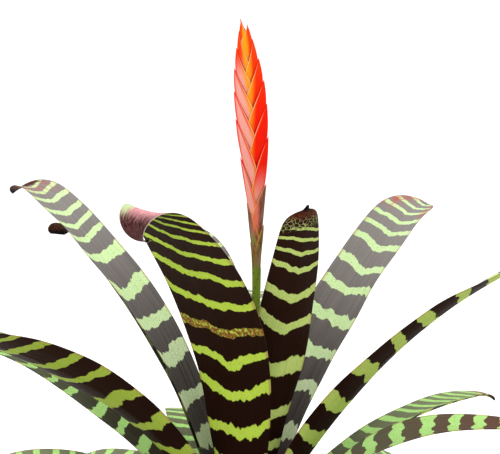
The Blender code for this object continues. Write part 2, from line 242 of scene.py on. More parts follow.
def ring_faces(rows: int, columns: int) -> np.ndarray:
    """Quads of a grid whose last column joins its first.

    Args:
        rows: how many rows of points.
        columns: how many points in a row.

    Returns:
        Four point numbers for each quad.
    """
    row, column = np.meshgrid(np.arange(rows - 1), np.arange(columns), indexing="ij")
    after = (column + 1) % columns
    corners = (row * columns + column, row * columns + after, (row + 1) * columns + after)
    return np.stack([*corners, (row + 1) * columns + column], -1).reshape(-1, 4)


def closed_blade(top: np.ndarray, bottom: np.ndarray, values: dict[str, tuple]) -> Shape:
    """Closes two facing grids into one solid, with a ring of quads on each row and quads across the ends.

    Args:
        top: rows by columns of points.
        bottom: the same for the other face.
        values: for each name, the top's and the bottom's grids of numbers or vectors.

    Returns:
        The closed shape.
    """

    def around(upper: np.ndarray, lower: np.ndarray) -> np.ndarray:
        """Top columns from left to right, then bottom columns from right to left."""
        ring = np.concatenate([upper, lower[:, ::-1]], axis=1)
        return ring.reshape(-1, *ring.shape[2:])

    rows, columns = top.shape[:2]
    across = np.arange(columns - 1)
    cap = np.stack([across, across + 1, 2 * columns - 2 - across, 2 * columns - 1 - across], -1)
    faces = [ring_faces(rows, 2 * columns), cap[:, ::-1], cap + (rows - 1) * 2 * columns]
    return Shape(around(top, bottom), faces, {name: around(*pair) for name, pair in values.items()})


def closed_rings(rings: np.ndarray, poles: np.ndarray) -> Shape:
    """Closes a stack of rings with a fan of triangles to a pole at each end.

    Args:
        rings: rows by columns of points.
        poles: the first and the last pole.

    Returns:
        The closed shape.
    """
    rows, columns = rings.shape[:2]
    column = np.arange(columns)
    after = (column + 1) % columns
    count, top = rows * columns, (rows - 1) * columns
    first = np.stack([np.full(columns, count), after, column], -1)
    last = np.stack([np.full(columns, count + 1), top + column, top + after], -1)
    return Shape(np.concatenate([rings.reshape(-1, 3), poles]), [ring_faces(rows, columns), first, last])


def closed_tube(path: np.ndarray, side: np.ndarray, up: np.ndarray, radius: np.ndarray) -> Shape:
    """A closed tube: at each path point a ring of side and up times cosine and sine times the radius.

    Args:
        path: points along the middle.
        side: one unit vector across the path for each point.
        up: another, square to the first.
        radius: rows by columns of distances from the middle.

    Returns:
        The closed shape, with its ends drawn in to a point.
    """
    angle = np.linspace(0, FULL_TURN, radius.shape[1], endpoint=False)[None, :, None]
    ring = side[:, None] * np.cos(angle) + up[:, None] * np.sin(angle)
    return closed_rings(path[:, None] + ring * radius[..., None], path[[0, -1]])


def spikes(roots: np.ndarray, tips: np.ndarray, across: np.ndarray, through: np.ndarray) -> Shape:
    """Many closed slivers: each a triangle at its root, drawn up to a point at its tip.

    Args:
        roots: where each begins.
        tips: where each ends.
        across: half the root's width, as a vector.
        through: the root's thickness, as a vector.

    Returns:
        One shape with 4 faces for each sliver, and the value "share", 0 at the root and 1 at the tip.
    """
    corners = np.stack([roots - across, roots + across, roots + through, tips], 1)
    start = 4 * np.arange(len(roots))[:, None, None]
    pattern = np.array([[0, 2, 1], [0, 1, 3], [1, 2, 3], [2, 0, 3]])
    turned = np.einsum("ij,ij->i", np.cross(across, through), tips - roots) < 0
    faces = np.where(turned[:, None, None], pattern[:, ::-1], pattern) + start
    share = np.tile([0.0, 0.0, 0.0, 1.0], len(roots))
    return Shape(corners.reshape(-1, 3), [faces.reshape(-1, 3)], {"share": share})


# ---------------------------------------------------------------- shader nodes


@dataclass(frozen=True)
class Layer:
    """A colour that shows where a smooth step of each field that it names is high.

    Args:
        colour: the colour.
        spans: for each field, where its step begins and ends.
        share: how much of the colour shows at most.
    """

    colour: Colour
    spans: dict[str, Span]
    share: float = 1.0


class Bench:
    """Adds nodes to one tree and wires them, so that a finish reads as a few expressions."""

    def __init__(self, tree: bpy.types.NodeTree) -> None:
        """Works on this tree."""
        self.tree = tree

    def add(self, kind: str, feeds: dict | None = None, **settings: object) -> bpy.types.Node:
        """Adds a node.

        Args:
            kind: the node's class.
            feeds: what goes into its sockets, by name or number: a socket or a constant.
            settings: the node's own properties.

        Returns:
            The node.
        """
        node = self.tree.nodes.new(kind)
        for key, value in settings.items():
            setattr(node, key, value)
        self.fill(node, feeds or {})
        return node

    def feed(self, socket: Socket, feed: Feed) -> None:
        """Links a socket, or sets its constant. A colour of three numbers gets an alpha of 1.

        Args:
            socket: the socket fed.
            feed: the output that goes into it, or a constant.
        """
        if isinstance(feed, Socket):
            self.tree.links.new(feed, socket)
        elif socket.type == "RGBA" and len(feed) == 3:
            socket.default_value = (*feed, 1.0)
        else:
            socket.default_value = feed

    def fill(self, node: bpy.types.Node, feeds: dict) -> None:
        """Feeds a node's sockets, by name or number."""
        for key, feed in feeds.items():
            self.feed(node.inputs[key], feed)

    def math(self, operation: str, *feeds: Feed, clamp: bool = False) -> Socket:
        """One Math node."""
        feeds_by_number = dict(enumerate(feeds))
        return self.add("ShaderNodeMath", feeds_by_number, operation=operation, use_clamp=clamp).outputs[0]

    def times(self, *feeds: Feed) -> Socket:
        """The product of two or more values."""
        return reduce(partial(self.math, "MULTIPLY"), feeds)

    def plus(self, first: Feed, second: Feed) -> Socket:
        """The sum of two values."""
        return self.math("ADD", first, second)

    def less(self, first: Feed, second: Feed) -> Socket:
        """The first value less the second."""
        return self.math("SUBTRACT", first, second)

    def mix(self, share: Feed, low: Feed, high: Feed) -> Socket:
        """The colour between low and high at that share."""
        feeds = {0: share, 6: low, 7: high}
        return self.add("ShaderNodeMix", feeds, data_type="RGBA").outputs[2]

    def laid(self, body: Feed, layer: Layer, **fields: Socket) -> Socket:
        """The body's colour with a layer on it, given the fields that the layer names."""
        steps = (self.step(fields[name], *span) for name, span in layer.spans.items())
        return self.mix(self.times(*steps, layer.share), body, layer.colour)

    def step(self, value: Feed, low: Feed, high: Feed) -> Socket:
        """A smooth step of the value from 0 at low to 1 at high."""
        feeds = {"Value": value, "From Min": low, "From Max": high}
        return self.add("ShaderNodeMapRange", feeds, interpolation_type="SMOOTHSTEP").outputs[0]

    def between(self, value: Feed, low: Feed, high: Feed) -> Socket:
        """A value of 0 to 1 spread evenly from low to high."""
        feeds = {"Value": value, "To Min": low, "To Max": high}
        return self.add("ShaderNodeMapRange", feeds).outputs[0]

    def stretched(self, place: Socket, stretch: Triple) -> Socket:
        """A place with its three numbers multiplied."""
        return self.add("ShaderNodeVectorMath", {0: place, 1: stretch}, operation="MULTIPLY").outputs[0]

    def noise(self, place: Socket, scale: Feed, detail: float = 2.0, rough: float = 0.5) -> Socket:
        """Noise of 0 to 1."""
        feeds = {"Vector": place, "Scale": scale, "Detail": detail, "Roughness": rough}
        return self.add("ShaderNodeTexNoise", feeds).outputs[0]

    def grain(self, place: Socket, stretch: Triple, detail: float, rough: float = 0.5) -> Socket:
        """Noise of 0 to 1, drawn out by dividing its size by the stretch."""
        return self.noise(self.stretched(place, stretch), 1.0, detail, rough)

    def vector(self, name: str) -> Socket:
        """A mesh's own vector of this name."""
        return self.add("ShaderNodeAttribute", attribute_name=name).outputs["Vector"]

    def value(self, name: str) -> Socket:
        """A mesh's own number of this name."""
        return self.add("ShaderNodeAttribute", attribute_name=name).outputs["Fac"]

    def place(self) -> Socket:
        """Object coordinates."""
        return self.add("ShaderNodeTexCoord").outputs["Object"]

    def split(self, vector: Socket) -> list[Socket]:
        """A vector's three numbers."""
        return list(self.add("ShaderNodeSeparateXYZ", {0: vector}).outputs)

    def blade(self) -> tuple[Socket, list[Socket], Socket]:
        """What a leaf's or a bract's mesh says: its flow, its three growth numbers and its rim."""
        return self.vector("flow"), self.split(self.vector("growth")), self.value("rim")

    def bump(self, height: Feed, distance: float) -> Socket:
        """The normal of a surface raised by height, 0 to 1, times distance."""
        return self.add("ShaderNodeBump", {"Height": height, "Distance": distance}).outputs[0]


@dataclass(frozen=True)
class Effect:
    """A shader node group that several finishes share, built the first time it is placed.

    Args:
        name: the group's name.
        inputs: its input sockets, each a name and a socket type.
        outputs: its output sockets.
        wiring: makes its nodes from the inputs, and returns what goes to each output.
    """

    name: str
    inputs: dict[str, str]
    outputs: dict[str, str]
    wiring: Callable[[Bench, dict[str, Socket]], dict[str, Socket]]

    def tree(self) -> bpy.types.NodeTree:
        """The group's tree, which is made once.

        Returns:
            The tree.
        """
        if self.name in bpy.data.node_groups:
            return bpy.data.node_groups[self.name]
        tree = bpy.data.node_groups.new(self.name, "ShaderNodeTree")
        for direction, sockets in (("INPUT", self.inputs), ("OUTPUT", self.outputs)):
            for name, kind in sockets.items():
                tree.interface.new_socket(name=name, in_out=direction, socket_type=kind)
        bench = Bench(tree)
        given = bench.add("NodeGroupInput").outputs
        found = self.wiring(bench, {name: given[name] for name in self.inputs})
        bench.add("NodeGroupOutput", found)
        return tree

    def on(self, bench: Bench, **feeds: Feed) -> dict[str, Socket]:
        """Places the group in a material, feeds its inputs by name and gives its outputs by name."""
        node = bench.add("ShaderNodeGroup", feeds, node_tree=self.tree())
        return {name: node.outputs[name] for name in self.outputs}


NUMBER = "NodeSocketFloat"
VECTOR = "NodeSocketVector"
COLOUR = "NodeSocketColor"

COMB_GRAIN = (0.85, 0.045, 7.0)
SWAY_GRAIN = (0.13, 0.035, 3.0)
BAND_WIDTH_GRAIN = (0.16, 0.07, 5.0)
BAND_WIDTHS = (0.34, 0.66)
BAND_BLUR = 0.012

BROAD_VEINS = (0.55, 0.012, 2.0)
FINE_VEINS = (2.6, 0.02, 4.0)
VEIN_GRAIN = (2.2, 0.7, 5.0)
STREAK_SPAN = (0.40, 0.85)
GRAIN_SPAN = (0.44, 0.66)
FINE_IN_STREAKS = 0.25
BROAD_IN_RIBS = 0.6

DOT_GRAIN = (1.25, 0.8, 9.0)
DRIFT_GRAIN = (0.09, 0.05, 6.0)
DOTS_FROM = 0.86
DOT_BLUR = 0.05


def wire_bands(bench: Bench, given: dict[str, Socket]) -> dict[str, Socket]:
    """Pale bands across a leaf: one for each whole phase, swaying, with edges combed along the veins.

    The flow is millimetres across, millimetres along and the leaf's own number.

    Args:
        bench: the group's bench.
        given: its inputs.

    Returns:
        What goes to its outputs.
    """
    comb = bench.grain(given["Flow"], COMB_GRAIN, 2.0)
    sway = bench.grain(given["Flow"], SWAY_GRAIN, 1.0)
    torn = bench.times(bench.less(comb, 0.5), given["Comb"])
    swung = bench.times(bench.less(sway, 0.5), given["Sway"])
    phase = bench.plus(given["Phase"], bench.plus(torn, swung))
    away = bench.math("ABSOLUTE", bench.less(bench.math("FRACT", phase), 0.5))
    width = bench.between(bench.grain(given["Flow"], BAND_WIDTH_GRAIN, 1.0), *BAND_WIDTHS)
    half = bench.times(given["Share"], width)
    return {"Pale": bench.step(away, bench.plus(half, BAND_BLUR), bench.less(half, BAND_BLUR))}


def wire_veins(bench: Bench, given: dict[str, Socket]) -> dict[str, Socket]:
    """Fine lines along a leaf: soft streaks and a close grain for the colour, and ribs for the height.

    Args:
        bench: the group's bench.
        given: its inputs.

    Returns:
        What goes to its outputs.
    """
    broad = bench.grain(given["Flow"], BROAD_VEINS, 3.0, 0.65)
    fine = bench.grain(given["Flow"], FINE_VEINS, 1.0)
    streak = bench.step(bench.plus(broad, bench.times(fine, FINE_IN_STREAKS)), *STREAK_SPAN)
    grain = bench.step(bench.grain(given["Flow"], VEIN_GRAIN, 2.0), *GRAIN_SPAN)
    return {"Streak": streak, "Grain": grain, "Height": bench.plus(fine, bench.times(broad, BROAD_IN_RIBS))}


def wire_freckles(bench: Bench, given: dict[str, Socket]) -> dict[str, Socket]:
    """Small dark dots in drifts: the tops of a fine noise, let through where a broad one is high.

    Args:
        bench: the group's bench.
        given: its inputs.

    Returns:
        What goes to its outputs.
    """
    dots = bench.noise(bench.stretched(given["Flow"], DOT_GRAIN), given["Scale"], 1.0)
    drift = bench.grain(given["Flow"], DRIFT_GRAIN, 1.0)
    least = bench.less(DOTS_FROM, bench.times(drift, given["Amount"]))
    return {"Mask": bench.step(dots, least, bench.plus(least, DOT_BLUR))}


def wire_mottle(bench: Bench, given: dict[str, Socket]) -> dict[str, Socket]:
    """Two colours clouded together by noise, with an edge between them of a given softness.

    Args:
        bench: the group's bench.
        given: its inputs.

    Returns:
        What goes to its outputs.
    """
    cloud = bench.noise(given["Place"], given["Scale"], 4.0, 0.6)
    share = bench.step(cloud, bench.less(0.5, given["Softness"]), bench.plus(0.5, given["Softness"]))
    return {"Colour": bench.mix(share, given["Low"], given["High"])}


BANDS = Effect(
    "Cross bands",
    {"Flow": VECTOR, "Phase": NUMBER, "Share": NUMBER, "Comb": NUMBER, "Sway": NUMBER},
    {"Pale": NUMBER},
    wire_bands,
)
VEINS = Effect(
    "Leaf veins", {"Flow": VECTOR}, {"Streak": NUMBER, "Grain": NUMBER, "Height": NUMBER}, wire_veins
)
FRECKLES = Effect(
    "Freckles", {"Flow": VECTOR, "Scale": NUMBER, "Amount": NUMBER}, {"Mask": NUMBER}, wire_freckles
)
MOTTLE = Effect(
    "Mottle",
    {"Place": VECTOR, "Scale": NUMBER, "Softness": NUMBER, "Low": COLOUR, "High": COLOUR},
    {"Colour": COLOUR},
    wire_mottle,
)


@dataclass(frozen=True)
class Clouds:
    """Two colours clouded together by a noise.

    Args:
        low: the colour where the noise is low.
        high: the colour where it is high.
        scale: the noise's scale.
        softness: how wide the edge between them is, in the noise's values.
    """

    low: Colour
    high: Colour
    scale: float
    softness: float

    def at(self, bench: Bench, place: Socket) -> Socket:
        """The colour at each place, from one placing of the mottle."""
        feeds = {"Scale": self.scale, "Softness": self.softness, "Low": self.low, "High": self.high}
        return MOTTLE.on(bench, Place=place, **feeds)["Colour"]


# ---------------------------------------------------------------- finishes


BARK = (0.14, 0.036, 0.014)
# A near-black brown: the faint painted sheen on the outer faces' dark bands, and the dark cells of a netted
# tip.
NIGHT = (0.022, 0.008, 0.0045)
MINT = (0.60, 0.92, 0.36)


class Tip(Enum):
    """How a leaf ends."""

    SOUND = "sound"
    DRIED = "dried"
    NETTED = "netted"
    ROSY = "rosy"
    BLUSHED = "blushed"


@dataclass(frozen=True)
class Finish:
    """A look that makes one material, with a Principled shader.

    Args:
        roughness: the shader's own, unless the look feeds another.
        gloss: its specular level.
    """

    roughness: float = 0.5
    gloss: float = 0.5

    def feeds(self, bench: Bench) -> dict[str, Feed]:
        """What else goes into the shader, by its sockets' names."""
        raise NotImplementedError

    def build(self, name: str) -> bpy.types.Material:
        """Makes the material.

        Args:
            name: its name.

        Returns:
            The material.
        """
        made = bpy.data.materials.new(name)
        made.use_nodes = True
        bench = Bench(made.node_tree)
        feeds = {"Roughness": self.roughness, "Specular IOR Level": self.gloss} | self.feeds(bench)
        bench.fill(made.node_tree.nodes["Principled BSDF"], feeds)
        return made


@dataclass(frozen=True)
class TipFinish:
    """The colours of a leaf's end, laid over those of its blade.

    Layers read the share of the length (share), the same a little ragged (reached), how far that is past
    the start (lead), the way out to the margin (rim), millimetres to the side (across) and a noise (ragged).
    The spans of the wine and the net are ragged shares of the length too.
    """

    kind: Tip = Tip.SOUND
    start: float = 0.955
    blur: float = 0.008
    ragged: Triple = (0.3, 0.12, 1.0)
    ragged_reach: float = 0.04
    rose: Clouds = Clouds((0.60, 0.24, 0.31), (0.92, 0.45, 0.40), scale=0.30, softness=0.14)
    # Wine: the curl's dark lower part, its own purple deepened as painted shade.
    wine: Clouds = Clouds((0.022, 0.006, 0.005), (0.17, 0.062, 0.062), scale=0.45, softness=0.16)
    wine_span: Span = (0.895, 0.930)
    corner: Layer = Layer(
        (0.56, 0.74, 0.36), {"rim": (0.45, 0.85), "across": (0.0, -3.0), "reached": (0.93, 0.90)}
    )
    hem: Layer = Layer((0.78, 0.68, 0.56), {"rim": (0.93, 1.0)}, 0.8)
    stain: Layer = Layer((0.55, 0.13, 0.10), {"ragged": (0.40, 0.62), "rim": (0.35, 0.95)})
    flush: Layer = Layer((0.42, 0.13, 0.11), {"lead": (-0.06, -0.01), "ragged": (0.42, 0.58)}, 0.7)
    net: Colour = (0.46, 0.44, 0.17)
    net_stretch: Triple = (0.24, 0.46, 1.0)
    net_lines: Span = (0.055, 0.02)
    net_span: Span = (0.932, 0.948)
    dry: Clouds = Clouds((0.020, 0.006, 0.004), BARK, scale=0.5, softness=0.15)
    char: Layer = Layer((0.010, 0.004, 0.003), {"share": (0.978, 0.990)})

    def over(self, bench: Bench, body: Socket, flow: Socket, growth: list[Socket], rim: Socket) -> Socket:
        """The leaf's colour with its end's own look on it.

        Args:
            bench: the material's bench.
            body: the colour without it.
            flow: millimetres across, millimetres along and the leaf's number.
            growth: the band phase, the face and the share of the length.
            rim: 0 on the midrib and 1 at the margins.

        Returns:
            The colour with it.
        """
        _, face, share = growth
        ragged = bench.grain(flow, self.ragged, 3.0)
        reached = bench.plus(share, bench.times(bench.less(ragged, 0.5), self.ragged_reach))
        lead = bench.less(reached, self.start)
        covered = bench.step(lead, -self.blur, self.blur)
        if self.kind is Tip.ROSY:
            inside = bench.times(covered, bench.less(1.0, face))
            return bench.mix(inside, body, self.rosy(bench, flow, reached, rim))
        if self.kind is Tip.BLUSHED:
            return bench.mix(covered, body, bench.laid(body, self.stain, ragged=ragged, rim=rim))
        if self.kind is Tip.DRIED:
            body = bench.laid(body, self.flush, lead=lead, ragged=ragged)
        if self.kind is Tip.NETTED:
            body = bench.mix(bench.step(reached, *self.net_span), body, self.netted(bench, flow))
        return bench.mix(covered, body, bench.laid(self.dry.at(bench, flow), self.char, share=share))

    def rosy(self, bench: Bench, flow: Socket, reached: Socket, rim: Socket) -> Socket:
        """A curled end's inner face: rose, then wine, with a pale hem and one green corner. Rose and wine are
        the tip's own colours, and the dark wine lower on the curl is also painted shade.

        Args:
            bench: the material's bench.
            flow: millimetres across, millimetres along and the leaf's number.
            reached: the share of the length, a little ragged.
            rim: 0 on the midrib and 1 at the margins.

        Returns:
            The colour.
        """
        across, _, _ = bench.split(flow)
        # Rose above, dark wine below: the tip's own colours, with painted shade where the curl turns away
        # from the light.
        turned = bench.step(reached, *self.wine_span)
        colour = bench.mix(turned, self.rose.at(bench, flow), self.wine.at(bench, flow))
        colour = bench.laid(colour, self.corner, rim=rim, across=across, reached=reached)
        return bench.laid(colour, self.hem, rim=rim)

    def netted(self, bench: Bench, flow: Socket) -> Socket:
        """Pale lines between the dark cells of a Voronoi pattern.

        Args:
            bench: the material's bench.
            flow: millimetres across, millimetres along and the leaf's number.

        Returns:
            The colour.
        """
        feeds = {"Vector": bench.stretched(flow, self.net_stretch), "Scale": 1.0}
        cells = bench.add("ShaderNodeTexVoronoi", feeds, feature="DISTANCE_TO_EDGE")
        return bench.mix(bench.step(cells.outputs["Distance"], *self.net_lines), NIGHT, self.net)


@dataclass(frozen=True)
class LeafFinish(Finish):
    """A waxy leaf: near-black bands on its outer face, grey ones inside, and lime or mint between them.
    The inner grey and mint are lightened by painted sheen that grows towards the tip, and the outer bands
    carry a faint painted sheen too.

    A span is where a step begins and ends.

    Args:
        tip: how the leaf ends.
        pale_share: half the width of a pale band, for one band and one gap.
        comb: how far the bands' edges are combed, in bands.
        sway: how far the bands swing, in bands.
        rust_band: the phase at the middle of the one band that is worn to rust, if there is one.
    """

    tip: TipFinish = TipFinish()
    pale_share: float = 0.36
    comb: float = 0.09
    sway: float = 0.28
    rust_band: float | None = None
    dark_outer: Colour = (0.013, 0.0036, 0.0018)
    pale_outer: Colour = (0.60, 0.74, 0.10)
    dark_inner: Colour = (0.060, 0.045, 0.043)
    # Painted sheen: the grey that a bright surround lays on the inner face's dark bands. On leaf_right_lower
    # it is a real brown instead.
    painted_sheen_and_brown_inner: Colour = (0.285, 0.262, 0.245)
    # The inner face's own paler mint, lightened further as painted sheen.
    pale_inner: Colour = (0.78, 0.95, 0.58)
    # Painted light: the inner pale bands turn paler near the base, offsetting the shade that the other leaves
    # cast there.
    painted_light_low: Colour = (1.0, 1.0, 0.84)
    tan: Layer = Layer((0.42, 0.22, 0.09), {"rim": (0.90, 1.0)}, 0.7)
    rust: Clouds = Clouds(BARK, (0.36, 0.17, 0.035), scale=0.9, softness=0.12)
    roughnesses: Span = (0.42, 0.54)
    gloss: float = 0.02
    vein_depth: float = 0.0003
    # How the painted sheen on the dark bands rises towards the tip and along the vein streaks.
    sheen_span: Span = (0.30, 1.05)
    sheen_in_streaks: float = 0.26
    sheen_held_back: float = 0.03
    painted_light_span: Span = (0.35, 0.62)
    shade: float = 0.66
    shade_in_streaks: float = 0.6
    freckles: float = 0.34
    freckle_share: float = 0.8
    rust_reach: Span = (0.6, 0.5)
    rust_patches: Span = (0.34, 0.52)
    rust_scale: float = 0.35

    def dimmed(self, colour: Colour) -> Colour:
        """The colour in the shallow grooves between the veins."""
        red, green, blue = colour
        return (self.shade * red, (0.5 + 0.5 * self.shade) * green, self.shade**2 * blue)

    def rusted(self, bench: Bench, body: Socket, flow: Socket, phase: Socket, pale: Socket) -> Socket:
        """The colour with one pale band worn to rust in patches.

        Args:
            bench: the material's bench.
            body: the colour without the wear.
            flow: millimetres across, millimetres along and the leaf's number.
            phase: the band phase.
            pale: where the pale bands are.

        Returns:
            The colour with it.
        """
        near = bench.math("ABSOLUTE", bench.less(phase, self.rust_band))
        worn = bench.times(bench.step(near, *self.rust_reach), pale)
        patches = bench.step(bench.noise(flow, self.rust_scale, 3.0), *self.rust_patches)
        return bench.mix(bench.times(worn, patches), body, self.rust.at(bench, flow))

    def feeds(self, bench: Bench) -> dict[str, Feed]:
        """What goes into the shader.

        Args:
            bench: the material's bench.

        Returns:
            A feed for each socket.
        """
        flow, growth, rim = bench.blade()
        phase, face, share = growth
        veins = VEINS.on(bench, Flow=flow)
        bands = BANDS.on(bench, Flow=flow, Phase=phase, Share=self.pale_share, Comb=self.comb, Sway=self.sway)
        dots = FRECKLES.on(bench, Flow=flow, Scale=1.0, Amount=self.freckles)

        dark = bench.mix(face, self.dark_inner, self.dark_outer)
        # Painted sheen on the dark bands: grey inside and faint brown outside, along the vein streaks and
        # rising towards the tip.
        sheen = bench.mix(face, self.painted_sheen_and_brown_inner, NIGHT)
        streaks = bench.times(veins["Streak"], self.sheen_in_streaks)
        lift = bench.plus(streaks, bench.step(share, *self.sheen_span))
        dark = bench.mix(bench.math("SUBTRACT", lift, self.sheen_held_back, clamp=True), dark, sheen)

        # Painted light: paler low on the leaf, where the other leaves shade it.
        inside = bench.mix(bench.step(share, *self.painted_light_span), self.painted_light_low, self.pale_inner)
        pale = bench.mix(face, inside, self.pale_outer)
        shade = bench.mix(face, self.dimmed(self.pale_inner), self.dimmed(self.pale_outer))
        grooved = bench.math("MAXIMUM", bench.times(veins["Streak"], self.shade_in_streaks), veins["Grain"])
        pale = bench.mix(grooved, pale, shade)
        pale = bench.mix(bench.times(dots["Mask"], self.freckle_share), pale, BARK)
        colour = bench.mix(bands["Pale"], dark, bench.laid(pale, self.tan, rim=rim))
        if self.rust_band is not None:
            colour = self.rusted(bench, colour, flow, phase, bands["Pale"])
        if self.tip.kind is not Tip.SOUND:
            colour = self.tip.over(bench, colour, flow, growth, rim)
        return {
            "Base Color": colour,
            "Normal": bench.bump(veins["Height"], self.vein_depth),
            "Roughness": bench.between(veins["Streak"], *self.roughnesses),
        }


@dataclass(frozen=True)
class BractFinish(Finish):
    """A red bract, orange near the top and yellow at the spike's seam, with a pale pink painted highlight
    on the left row and at the foot, standing in for the glint of a soft lamp on the left.

    A span is where a step begins and ends: as a share of the spike's height, or, where its name says so, of
    the way round to its front (front), of the way out to the bract's rim (rim), or from row to row (row).
    """

    red: Colour = (1.0, 0.010, 0.0018)
    orange: Colour = (1.0, 0.060, 0.003)
    orange_span: Span = (0.50, 1.0)
    orange_in_streaks: float = 0.15
    # Painted highlight: the pale pink glint, placed by row, height, front and rim, and how strongly it
    # follows the fibres.
    painted_highlight: Colour = (1.0, 0.48, 0.40)
    painted_highlight_row: Span = (0.4, -0.4)
    painted_highlight_foot: Span = (0.30, 0.08)
    painted_highlight_top: Span = (0.84, 0.70)
    painted_highlight_front: Span = (0.10, 0.45)
    painted_highlight_rim: Span = (0.95, 0.80)
    painted_highlight_shares: Span = (0.55, 1.15)
    yellow: Colour = (1.0, 0.36, 0.012)
    seam_span: Span = (0.30, 0.80)
    seam_starts: Span = (0.84, 0.58)
    seam_shares: Span = (0.65, 1.0)
    seam_width: float = 0.34
    # A cream rim: the bracts' own pale margin, carried round the front so that it also paints light over the
    # shade lines in the gaps between the bracts.
    lip: Layer = Layer((0.98, 0.62, 0.30), {"rim": (0.93, 0.99), "front": (0.25, 0.80)}, 0.7)
    fibres: Triple = (1.4, 0.05, 3.0)
    fibre_depth: float = 0.0002
    roughness: float = 0.40
    gloss: float = 0.04

    def feeds(self, bench: Bench) -> dict[str, Feed]:
        """What goes into the shader.

        Args:
            bench: the material's bench.

        Returns:
            A feed for each socket.
        """
        flow, (tall, row, front), rim = bench.blade()
        streak = bench.grain(flow, self.fibres, 2.0)
        warm = bench.plus(bench.step(tall, *self.orange_span), bench.times(streak, self.orange_in_streaks))
        body = bench.mix(warm, self.red, self.orange)

        # Painted highlight: pale pink on the left row and at the foot, below the top, in the middle of each
        # bract.
        highlight_mask = bench.math("MAXIMUM", bench.step(row, *self.painted_highlight_row), bench.step(tall, *self.painted_highlight_foot))
        highlight_mask = bench.times(highlight_mask, bench.step(tall, *self.painted_highlight_top))
        middle = bench.times(bench.step(front, *self.painted_highlight_front), bench.step(rim, *self.painted_highlight_rim))
        strength = bench.between(streak, *self.painted_highlight_shares)
        highlight_mask = bench.math("MULTIPLY", bench.times(highlight_mask, middle), strength, clamp=True)
        body = bench.mix(highlight_mask, body, self.painted_highlight)

        high = bench.step(tall, *self.seam_span)
        start = bench.between(high, *self.seam_starts)
        seam = bench.step(front, start, bench.plus(start, self.seam_width))
        body = bench.mix(bench.times(seam, bench.between(high, *self.seam_shares)), body, self.yellow)
        return {
            "Base Color": bench.laid(body, self.lip, rim=rim, front=front),
            "Normal": bench.bump(streak, self.fibre_depth),
        }


@dataclass(frozen=True)
class ScapeFinish(Finish):
    """A small stem bract: reddish brown, flushed red near the spike, green and spotted low on the stem.

    A span is where a step begins and ends, as it is in BractFinish. Below the spike, heights are negative.
    """

    husk: Clouds = Clouds((0.15, 0.034, 0.010), (0.46, 0.20, 0.145), scale=0.5, softness=0.2)
    streaks: Triple = (1.0, 0.12, 1.0)
    green: Colour = (0.24, 0.34, 0.035)
    green_span: Span = (0.02, -0.12)
    green_patches: Span = (0.48, 0.60)
    all_green_span: Span = (-0.19, -0.25)
    spots: float = 0.50
    spot_scale: float = 0.6
    flush: Layer = Layer((0.95, 0.20, 0.13), {"front": (0.62, 0.86), "tall": (-0.08, 0.0)})
    edge: Layer = Layer((0.90, 0.34, 0.06), {"rim": (0.90, 0.97), "tall": (-0.20, -0.08)})
    fibres: Triple = (1.8, 0.06, 3.0)
    fibre_depth: float = 0.0003
    roughness: float = 0.42
    gloss: float = 0.1

    def feeds(self, bench: Bench) -> dict[str, Feed]:
        """What goes into the shader.

        Args:
            bench: the material's bench.

        Returns:
            A feed for each socket.
        """
        flow, (tall, _, front), rim = bench.blade()
        lines = bench.grain(flow, self.fibres, 3.0)
        husk = self.husk.at(bench, bench.stretched(flow, self.streaks))
        spots = FRECKLES.on(bench, Flow=flow, Scale=self.spot_scale, Amount=self.spots)
        green = bench.mix(spots["Mask"], self.green, self.husk.low)
        streaked = bench.times(bench.step(tall, *self.green_span), bench.step(lines, *self.green_patches))
        low = bench.math("MAXIMUM", streaked, bench.step(tall, *self.all_green_span))
        body = bench.laid(bench.mix(low, husk, green), self.flush, front=front, tall=tall)
        return {
            "Base Color": bench.laid(body, self.edge, rim=rim, tall=tall),
            "Normal": bench.bump(lines, self.fibre_depth),
        }


@dataclass(frozen=True)
class StemFinish(Finish):
    """A smooth green stem, flecked with dark brown along its length."""

    flecked: Clouds = Clouds((0.26, 0.36, 0.04), (0.05, 0.025, 0.012), scale=1.0, softness=0.09)
    flecks: Triple = (320.0, 320.0, 70.0)
    roughness: float = 0.45

    def feeds(self, bench: Bench) -> dict[str, Feed]:
        """The flecked colour."""
        return {"Base Color": self.flecked.at(bench, bench.stretched(bench.place(), self.flecks))}


@dataclass(frozen=True)
class MossFinish(Finish):
    """Living sheet moss: dark and brownish at its roots, bright green at its tips, in drifts.

    A span is where a step begins and ends: of a noise, or of the way up a sliver of the pile (tip).

    Args:
        pile: True for the fuzz and fronds, which are brighter towards their tips.
    """

    pile: bool = False
    deep: Colour = (0.030, 0.036, 0.010)
    drifts: Clouds = Clouds((0.085, 0.125, 0.018), (0.23, 0.30, 0.045), scale=55.0, softness=0.16)
    straw: Layer = Layer((0.30, 0.22, 0.075), {"grain": (0.52, 0.72)}, 0.5)
    straw_scale: float = 900.0
    tip_span: Span = (-0.25, 0.8)
    hollow_scale: float = 420.0
    hollow_span: Span = (0.40, 0.68)
    bump_scale: float = 700.0
    bump_depth: float = 0.0012
    roughness: float = 0.88
    gloss: float = 0.2

    def feeds(self, bench: Bench) -> dict[str, Feed]:
        """What goes into the shader.

        Args:
            bench: the material's bench.

        Returns:
            A feed for each socket.
        """
        place = bench.place()
        grain = bench.noise(place, self.straw_scale)
        colour = bench.laid(self.drifts.at(bench, place), self.straw, grain=grain)
        if self.pile:
            tip = bench.step(bench.value("share"), *self.tip_span)
            return {"Base Color": bench.mix(tip, self.drifts.low, colour)}
        hollow = bench.step(bench.noise(place, self.hollow_scale, 3.0), *self.hollow_span)
        tufts = bench.bump(bench.noise(place, self.bump_scale, 3.0, 0.7), self.bump_depth)
        return {"Base Color": bench.mix(hollow, self.deep, colour), "Normal": tufts}


